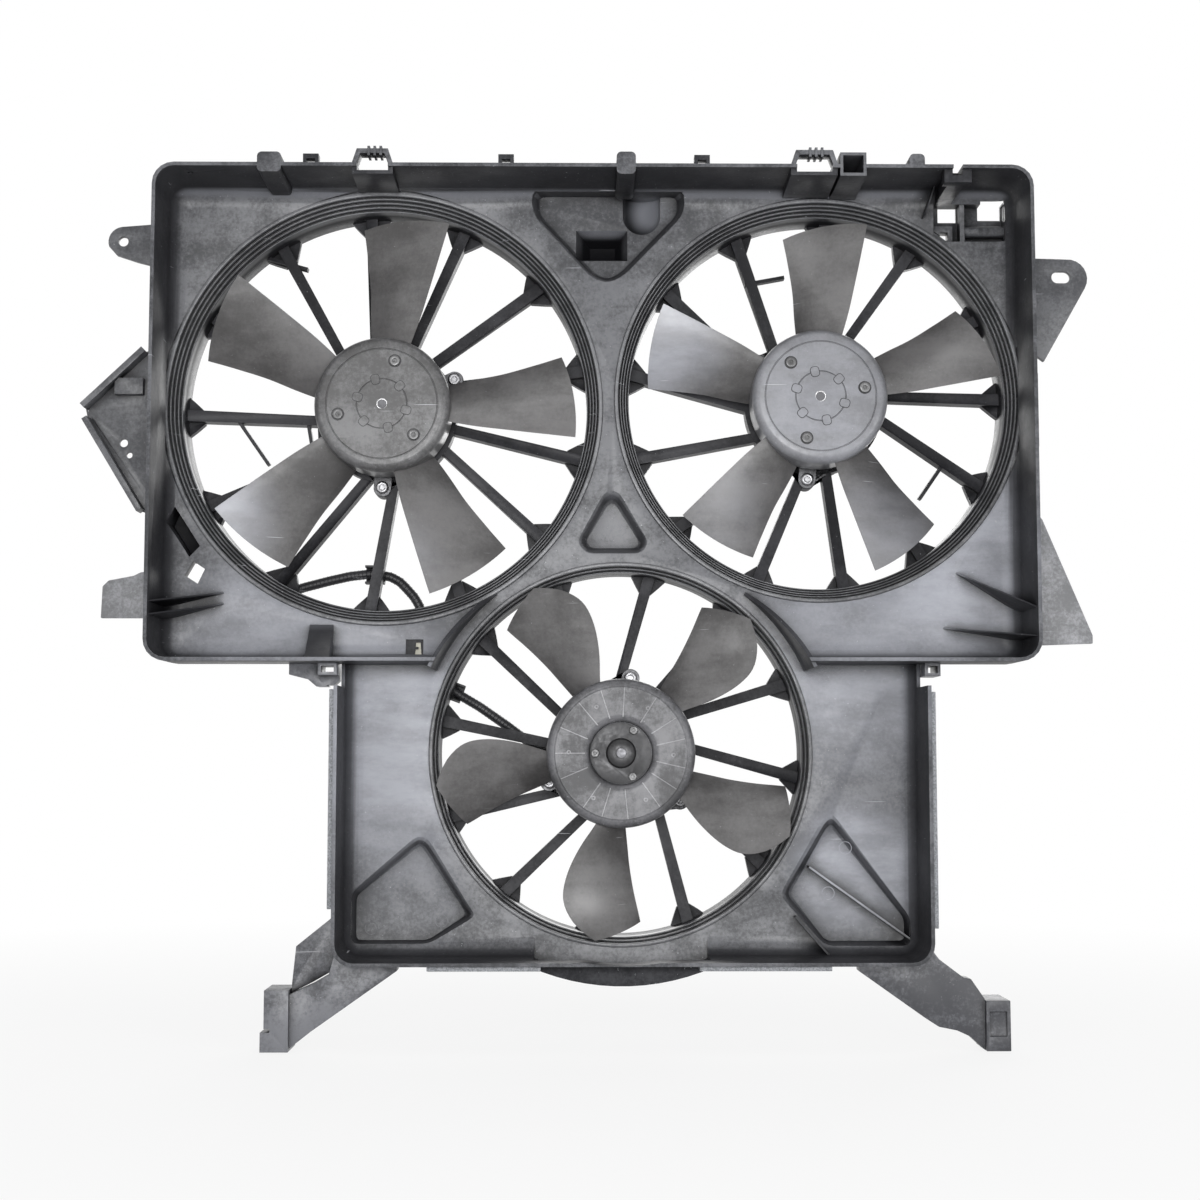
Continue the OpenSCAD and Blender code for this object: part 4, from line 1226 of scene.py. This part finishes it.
def plate(outline: list[Pair], y0: float, y1: float) -> Shape:
    """Returns a flat plate between two values of y.

    Args:
        outline: corners in x and z.
        y0: front face.
        y1: back face.

    Returns:
        Points and faces.
    """
    n = len(outline)
    verts = [(x, y, z) for y in (y0, y1) for x, z in outline]
    faces = [tuple(range(n)), tuple(range(2 * n - 1, n - 1, -1))]
    faces += [(k, n + k, n + (k + 1) % n, (k + 1) % n) for k in range(n)]
    return verts, faces


def pad(x: float, z: float, radius: float, y0: float, y1: float) -> Shape:
    """Returns a plate with rounded corners, from half its sizes in x and z."""
    return plate(rounded([(-x, -z), (x, -z), (x, z), (-x, z)], radius, 4), y0, y1)


def arc(middle: Pair, wide: float, deep: float, angles: range) -> list[Pair]:
    """Returns points of a section's arc: 0 degrees lies outwards, 90 degrees to the front."""
    turns = [math.radians(a) for a in angles]
    return [(middle[0] + wide * math.cos(t), middle[1] - deep * math.sin(t)) for t in turns]


@dataclass(kw_only=True)
class Fan:
    """What all fans share: a turned hub, five blades and small units on the hub's face.

    Radii and depths are in millimetres, angles in degrees from X towards Z.
    """

    side: Side
    centre: Pair
    tip: float
    drop: float
    angles: tuple[float, ...]
    hub_r: float
    rows: Rows
    finish: MouldedPlastic
    steps: int
    front: float = 56.0
    back: float = 92.0
    wall: float = 2.4
    sunk: float = 1.2  # how deep the blades' roots reach into the hub
    hub_smooth: float = 35.0
    blade_smooth: float = 60.0

    @property
    def body(self) -> str:
        """Names the CAD body that turns."""
        return f"fan_{self.side.value}"

    def hub_and_blades(self, shop: Workshop, profile: list[Pair]) -> list[bpy.types.Object]:
        """Makes the hub, which stands for the CAD impeller, and the blades.

        Args:
            shop: materials and shared tree.
            profile: section of the hub as radius and y.

        Returns:
            Both pieces.
        """
        end = self.side.value
        cup = revolve(profile, self.steps, self.centre)
        hub = shop.own(f"hub_{end}", cup, self.finish, self.body,
                       f"impeller_{end}", self.hub_smooth)
        places = [(self.centre[0], 0.0, self.centre[1], -a) for a in self.angles]
        blade = Blades(self.rows, self.hub_r - self.sunk, self.tip, self.drop).unit()
        return [hub, shop.repeated(f"blades_{end}", blade, places, BLADE, self.body,
                                   self.blade_smooth)]

    def detail(self, shop: Workshop, name: str, shape: Shape, radius: float,
               angles: Sequence[float], finish: Finish, depth: float = 0.0) -> bpy.types.Object:
        """Sets a small plastic unit on the hub's face at each angle.

        Args:
            shop: materials and shared tree.
            name: name of the piece without the fan's.
            shape: one unit.
            radius: radius of the circle that the units stand on.
            angles: their angles in degrees.
            finish: their finish.
            depth: how far they stand behind the face.

        Returns:
            The piece.
        """
        places = on_circle(self.centre, radius, self.front + depth, angles)
        return shop.repeated(f"{name}_{self.side.value}", shape, places, finish, self.body)

    def fasteners(self, shop: Workshop, node: str, shape: Shape, radius: float,
                  angles: Sequence[float], depth: float) -> bpy.types.Object:
        """Sets turned fasteners in place of a CAD node's.

        Args:
            shop: materials and shared tree.
            node: CAD node without the fan's name.
            shape: one fastener.
            radius: radius of the circle that they stand on.
            angles: their angles in degrees.
            depth: how far they start behind the hub's face.

        Returns:
            The piece.
        """
        node = f"{node}_{self.side.value}"
        places = on_circle(self.centre, radius, self.front + depth, angles)
        piece = shop.repeated(node + "_turned", shape, places, HEAD, self.body)
        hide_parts(node)
        return piece


@dataclass(kw_only=True)
class UpperFan(Fan):
    """A cup hub with five broad blades, its drive plate and three screws."""

    screws: tuple[float, ...]
    pads: float
    pips: tuple[float, ...]
    hub_r: float = 58.5
    rows: Rows = UPPER_ROWS
    finish: MouldedPlastic = HUB
    steps: int = 180
    corner: float = 8.0
    pad_circle: float = 21.5
    screw_circle: float = 38.5
    pip_circle: float = 53.6

    def profile(self) -> list[Pair]:
        """Draws the cup's section, with two fine grooves in its face.

        Returns:
            The outline, as radius and y.
        """
        f, bend, inner = self.front, self.corner, self.corner - self.wall
        middle = (self.hub_r - bend, f + bend)
        face = [(4.6, f + 2.4), (4.6, f), (5.2, f), (20.9, f), (21.2, f + 0.55), (21.8, f + 0.55),
                (22.1, f), (46.9, f), (47.3, f + 0.5), (48.0, f + 0.5), (48.3, f - 0.02)]
        return (face + arc(middle, bend, bend, range(80, -1, -8))
                + [(self.hub_r, self.back), (self.hub_r - self.wall, self.back)]
                + arc(middle, inner, inner, range(0, 91, 15)))

    def build(self, shop: Workshop) -> list[bpy.types.Object]:
        """Makes the fan.

        Args:
            shop: materials and shared tree.

        Returns:
            The pieces.
        """
        pip = revolve([(0.01, -0.5), (0.9, -0.5), (1.4, 0.1), (0.01, 0.6)], 16)
        screw = revolve([
            (0.01, 1.4), (0.5, 1.4), (0.6, 0.4), (1.0, 0.4), (1.1, 1.4), (1.7, 1.4), (1.9, 0.2),
            (3.4, 0.0), (4.3, 0.25), (4.6, 0.8), (4.6, 2.2), (2.0, 2.2), (2.0, 8.7), (0.01, 8.7)],
            40)
        # black rings of painted shade, standing for the dark recess round each screw
        well_shade = revolve([(4.65, -0.1), (5.6, -0.1), (5.6, 0.35), (4.65, 0.35)], 40)
        spots = [self.pads + 60 * k for k in range(6)]
        dress(frame["nodes"][f"drive_{self.side.value}"], shop.finish(STEEL))
        return self.hub_and_blades(shop, self.profile()) + [
            self.detail(shop, "hub_pads", pad(4, 3.4, 2.4, -0.5, 0.3), self.pad_circle, spots, HUB),
            self.detail(shop, "pad_linings", pad(4.6, 4, 2.9, -0.12, 0.3), self.pad_circle, spots,
                        BLACK),
            self.detail(shop, "hub_pips", pip, self.pip_circle, self.pips, HUB, 1.1),
            self.fasteners(shop, "hub_screws", screw, self.screw_circle, self.screws, -2.2),
            self.detail(shop, "screw_wells", well_shade, self.screw_circle, self.screws, BLACK)]


@dataclass(kw_only=True)
class LowerFan(Fan):
    """A ribbed cup hub with a sunk steel centre and five sickle blades."""

    side: Side = Side.LOWER
    hub_r: float = 63.0
    rows: Rows = LOWER_ROWS
    finish: MouldedPlastic = HUB_LOW
    steps: int = 200
    rivets: tuple[float, ...] = (61, 180, 296.4)
    ribs: tuple[float, ...] = (12.6, 32.7, 57.5, 87, 108, 130, 157, 180, 203, 235, 253, 276, 306,
                               327, 347)
    dots: tuple[float, ...] = (-2, 59, 118, 179, 238, 298)
    rivet_circle: float = 22.0
    rib_circle: float = 43.0
    dot_circle: float = 44.2
    plate_edge: float = 0.4

    def profile(self) -> list[Pair]:
        """Draws the cup's section, with its sunk centre.

        Returns:
            The outline, as radius and y.
        """
        f, r = self.front, self.hub_r
        return ([(9, f + 6), (9, f + 4), (26, f + 4)]
                + arc((33, f + 4.4), -6.2, 4.4, range(0, 91, 15))
                + [(55.6, f + 0.05), (56.0, f + 0.35)]
                + arc((r - 6.4, f + 6.6), 6.4, 6.2, range(84, -1, -7))
                + [(r, self.back), (r - self.wall, self.back)]
                + arc((r - 6, f + 6), 3.6, 3.6, range(0, 91, 15))
                + [(33, f + 2.4), (28, f + 6)])

    def build(self, shop: Workshop) -> list[bpy.types.Object]:
        """Makes the fan.

        Args:
            shop: materials and shared tree.

        Returns:
            The pieces.
        """
        rib = plate([(-12.5, -0.5), (12.5, -0.35), (12.5, 0.35), (-12.5, 0.5)], -0.35, 0.4)
        dot = revolve([(0.01, 0.2), (0.7, 0.2), (0.8, -0.2), (1.3, -0.35), (1.9, -0.2), (2.0, 0.5),
                       (0.01, 0.5)], 20)
        rivet = revolve([(0.01, 1.0), (1.1, 1.0), (1.4, 0.1), (3.0, 0.0), (3.6, 0.5), (3.6, 1.4),
                         (2.0, 1.4), (2.0, 6.4), (0.01, 6.4)], 28)
        return self.hub_and_blades(shop, self.profile()) + [
            self.detail(shop, "hub_ribs", rib, self.rib_circle, self.ribs, RIB),
            self.detail(shop, "hub_dots", dot, self.dot_circle, self.dots, RIB),
            self.fasteners(shop, "hub_rivets", rivet, self.rivet_circle, self.rivets, 1.2),
            shop.soft("drive_lower", self.plate_edge, PLATE, "steel")]


@dataclass
class Harness:
    """Conduits, their bands and the plug housing with its latch."""

    radius: float = 4.5
    rib: float = 0.35
    pitch: float = 3.4
    bend: float = 18.0
    level: float = 126.8
    band_edge: float = 0.3
    plug_edge: float = 0.6
    latch_y: Pair = (73.2, 74.95)
    smooth: float = 50.0

    def hook(self, at: Pair, heading: float, y_end: float) -> list[Point]:
        """Turns a conduit forward at one of its ends.

        Args:
            at: x and z where it is level, from the fan's axis.
            heading: its direction there in degrees.
            y_end: where it starts.

        Returns:
            The quarter turn's points, from its start.
        """
        c, s = math.cos(math.radians(heading)), math.sin(math.radians(heading))
        line = [(at[0] - self.bend * c, y_end, at[1] - self.bend * s)]
        for t in (math.radians(a) for a in range(0, 91, 15)):
            out, down = self.bend * math.cos(t), self.bend * (1 - math.sin(t))
            line.append((at[0] - out * c, self.level - down, at[1] - out * s))
        return line

    def paths(self) -> dict[str, list[Point]]:
        """Lays out the conduits, each about its fan's axis.

        Returns:
            Each conduit's points in millimetres, by its CAD node.
        """
        left = [(-75.3, -152), (-51.5, -145.8), (-33.9, -141.8), (-14.5, -139.5), (2.4, -142.2),
                (10.4, -146.6), (16.6, -152.8), (22.9, -159.9), (27.3, -167), (30.6, -176)]
        lower = [(-142.2, 52.3), (-122.8, 40.9), (-97.1, 23), (-78.5, 9), (-70, 4.9), (-60.1, 4.2)]
        left_line = (self.hook((-95, -160), 25, 75) + [(x, self.level, z) for x, z in left]
                     + self.hook((32.5, -184), 98, 95)[::-1])
        lower_line = self.hook((-163.5, 68), -33.5, 95) + [(x, self.level, z) for x, z in lower]
        routes = {"conduit_left": (Side.LEFT, left_line), "conduit_lower": (Side.LOWER, lower_line)}
        return {name: [(x + CENTRES[side][0], y, z + CENTRES[side][1]) for x, y, z in line]
                for name, (side, line) in routes.items()}

    def conduits(self, shop: Workshop) -> list[bpy.types.Object]:
        """Makes the ribbed conduits in place of the CAD's smooth ones.

        Args:
            shop: materials and shared tree.

        Returns:
            The pieces.
        """
        tree, made = conduit_tree(), []
        for name, points in self.paths().items():
            mesh = bpy.data.meshes.new(name + "_ribbed")
            mesh.from_pydata([metres(p) for p in points],
                             [(k, k + 1) for k in range(len(points) - 1)], [])
            piece = linked(name + "_ribbed", mesh)
            run_tree(piece, tree, {"Radius": (self.radius - self.rib) * MM, "Rib": self.rib * MM,
                                   "Pitch": self.pitch * MM, "Finish": shop.finish(BLACK)})
            shade(piece, self.smooth)
            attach(piece, "shroud")
            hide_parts(name)
            made.append(piece)
        return made

    def build(self, shop: Workshop) -> list[bpy.types.Object]:
        """Makes the conduits, the bands, the plug and its latch.

        Args:
            shop: materials and shared tree.

        Returns:
            The pieces.
        """
        outline = [(-160.5, -408), (-152.5, -408), (-151.8, -402.5), (-149.3, -402.5),
                   (-149.3, -400.4), (-151.8, -400.4), (-151.5, -396.6), (-147.6, -396.6),
                   (-146.6, -408), (-144.4, -408), (-144.4, -394), (-160.5, -394)]
        made = self.conduits(shop) + [
            shop.soft("harness_clips", self.band_edge, BLACK, "clip_plastic"),
            shop.soft("connector", self.plug_edge, PLUG, "plug_plastic")]
        return made + [shop.own("connector_latch", plate(outline, *self.latch_y), FRAME,
                                "shroud")]


# ---------------------------------------------------------------- studio


@dataclass
class Studio:
    """Camera at the photograph's angle, soft lamps and a pale floor."""

    eye: Point = (-12.87, -1550.0, -497.55)
    pitch: float = 4.843
    yaw: float = 0.661
    lens: float = 57.0
    sensor: float = 36.0
    floor: float = -736.0
    reach: float = 9000.0  # half the floor's width

    def lamp(self, name: str, at: Point, aim: Point, size: float, power: float) -> None:
        """Adds one square area lamp.

        Args:
            name: name of the lamp.
            at: place in metres.
            aim: point it shines at.
            size: side of the square in metres.
            power: watts.
        """
        data = bpy.data.lights.new(name, "AREA")
        data.shape, data.size, data.energy = "SQUARE", size, power
        obj = linked(name, data)
        obj.location = at
        obj.rotation_euler = (Vector(aim) - Vector(at)).to_track_quat("-Z", "Y").to_euler()

    def build(self) -> None:
        """Sets the camera, the lamps, the world and the floor."""
        data = bpy.data.cameras.new("camera")
        data.lens, data.sensor_width = self.lens, self.sensor
        camera = linked("camera", data)
        camera.location = metres(self.eye)
        camera.rotation_euler = (math.radians(90 + self.pitch), 0, math.radians(-self.yaw))
        bpy.context.scene.camera = camera
        bpy.context.scene.view_settings.view_transform = "Standard"
        self.world()
        self.lamp("key", (-0.10, -1.95, -0.42), (0, 0, -0.36), 0.95, 34)
        self.lamp("top", (0.1, -0.9, 1.5), (0, 0.05, -0.25), 1.0, 6)
        self.lamp("back", (0.4, 2.2, 0.5), (0, 0, -0.35), 1.6, 24)
        self.lamp("sheen_right", (1.25, -1.55, -0.45), (0, 0.05, -0.30), 0.80, 15)
        self.lamp("sheen_left", (-1.45, -1.45, -0.10), (0, 0.05, -0.30), 0.80, 6)
        self.ground()

    def world(self) -> None:
        """Makes a surround that looks white and lights the object softly."""
        world = bpy.data.worlds.new("surround")
        bpy.context.scene.world = world
        world.use_nodes = True
        world.node_tree.nodes.clear()
        nodes = NodeMaker(world.node_tree)
        white = nodes.add("Background", {"Color": (1, 1, 1, 1)})
        soft = nodes.add("Background", {"Color": (0.97, 0.985, 1, 1), "Strength": 0.20})
        shown = nodes.add("MixShader", {0: nodes.seen(), 1: soft.outputs[0], 2: white.outputs[0]})
        nodes.add("OutputWorld", {0: shown.outputs[0]})

    def ground(self) -> None:
        """Lays the pale floor under the feet: white to the eye, with the object's shadow."""
        outline = ((-1, -1), (1, -1), (1, 1), (-1, 1))
        corners = [(self.reach * x, self.reach * y, self.floor) for x, y in outline]
        floor = make_object("floor", corners, [(0, 1, 2, 3)])
        s = Shader("pale_floor")
        away = s.add("VectorMath", {0: s.coord}, operation="LENGTH").outputs["Value"]
        fade = s.add("MapRange", {"Value": away, "From Min": 0.5, "From Max": 1.6, "To Min": 0.80,
                                  "To Max": 1.0}).outputs["Result"]
        surface = s.tree.nodes["Principled BSDF"].outputs[0]
        glow = s.add("Emission", {}).outputs[0]
        shown = s.add("MixShader", {0: s.math("MULTIPLY", fade, s.seen()), 1: surface, 2: glow})
        s.fill(s.tree.nodes["Material Output"], {"Surface": shown.outputs[0]})
        floor.data.materials.append(s.finished({
            "Base Color": (0.80, 0.80, 0.80, 1), "Roughness": 0.9, "Specular IOR Level": 0.1}))


def main() -> None:
    """Builds every sub-assembly in order and reports its pieces."""
    logging.basicConfig(level=logging.INFO, format="%(message)s")
    Studio().build()
    shop = Workshop()
    built = {
        "shell": Shell().build(shop),
        "side pieces": SidePieces().build(shop),
        "left fan": UpperFan(
            side=Side.LEFT, centre=CENTRES[Side.LEFT], tip=168, drop=7.5, pads=45,
            angles=(4, 84, 151.5, 226, 298), screws=(73.6, 194, 315.6),
            pips=(5.5, 83.5, 148.4, 223, 297)).build(shop),
        "right fan": UpperFan(
            side=Side.RIGHT, centre=CENTRES[Side.RIGHT], tip=157, drop=9.5, pads=43,
            angles=(-59.5, 20.5, 88, 162.5, 234.5), screws=(131.4, 10.8, 251.4),
            pips=(20.5, 85, 160, 233, 302)).build(shop),
        "lower fan": LowerFan(
            centre=CENTRES[Side.LOWER], tip=158, drop=14,
            angles=(46.5, 118.5, 190.5, 262.5, 334.5)).build(shop),
        "harness": Harness().build(shop),
    }
    # outer and inner radius of the bell, its steps, and the angle of the motor's first screw
    sizes = {Side.LEFT: (189.5, 175.5, 5, 27), Side.RIGHT: (177, 164, 5, 24),
             Side.LOWER: (163.5, 155.5, 3, 82)}
    for side, (outer, inner, steps, screw_phase) in sizes.items():
        name, centre = side.value, CENTRES[side]
        built[f"bell {name}"] = BellMouth(side, centre, outer, inner, steps).build(shop)
        built[f"stator {name}"] = Stator(side).build(shop)
        built[f"motor {name}"] = Motor(side, centre, screw_phase).build(shop)
    for name, pieces in built.items():
        for piece in pieces:
            log.info("%s: %s, %d faces", name, piece.name, len(piece.data.polygons))


if __name__ == "__main__":
    main()
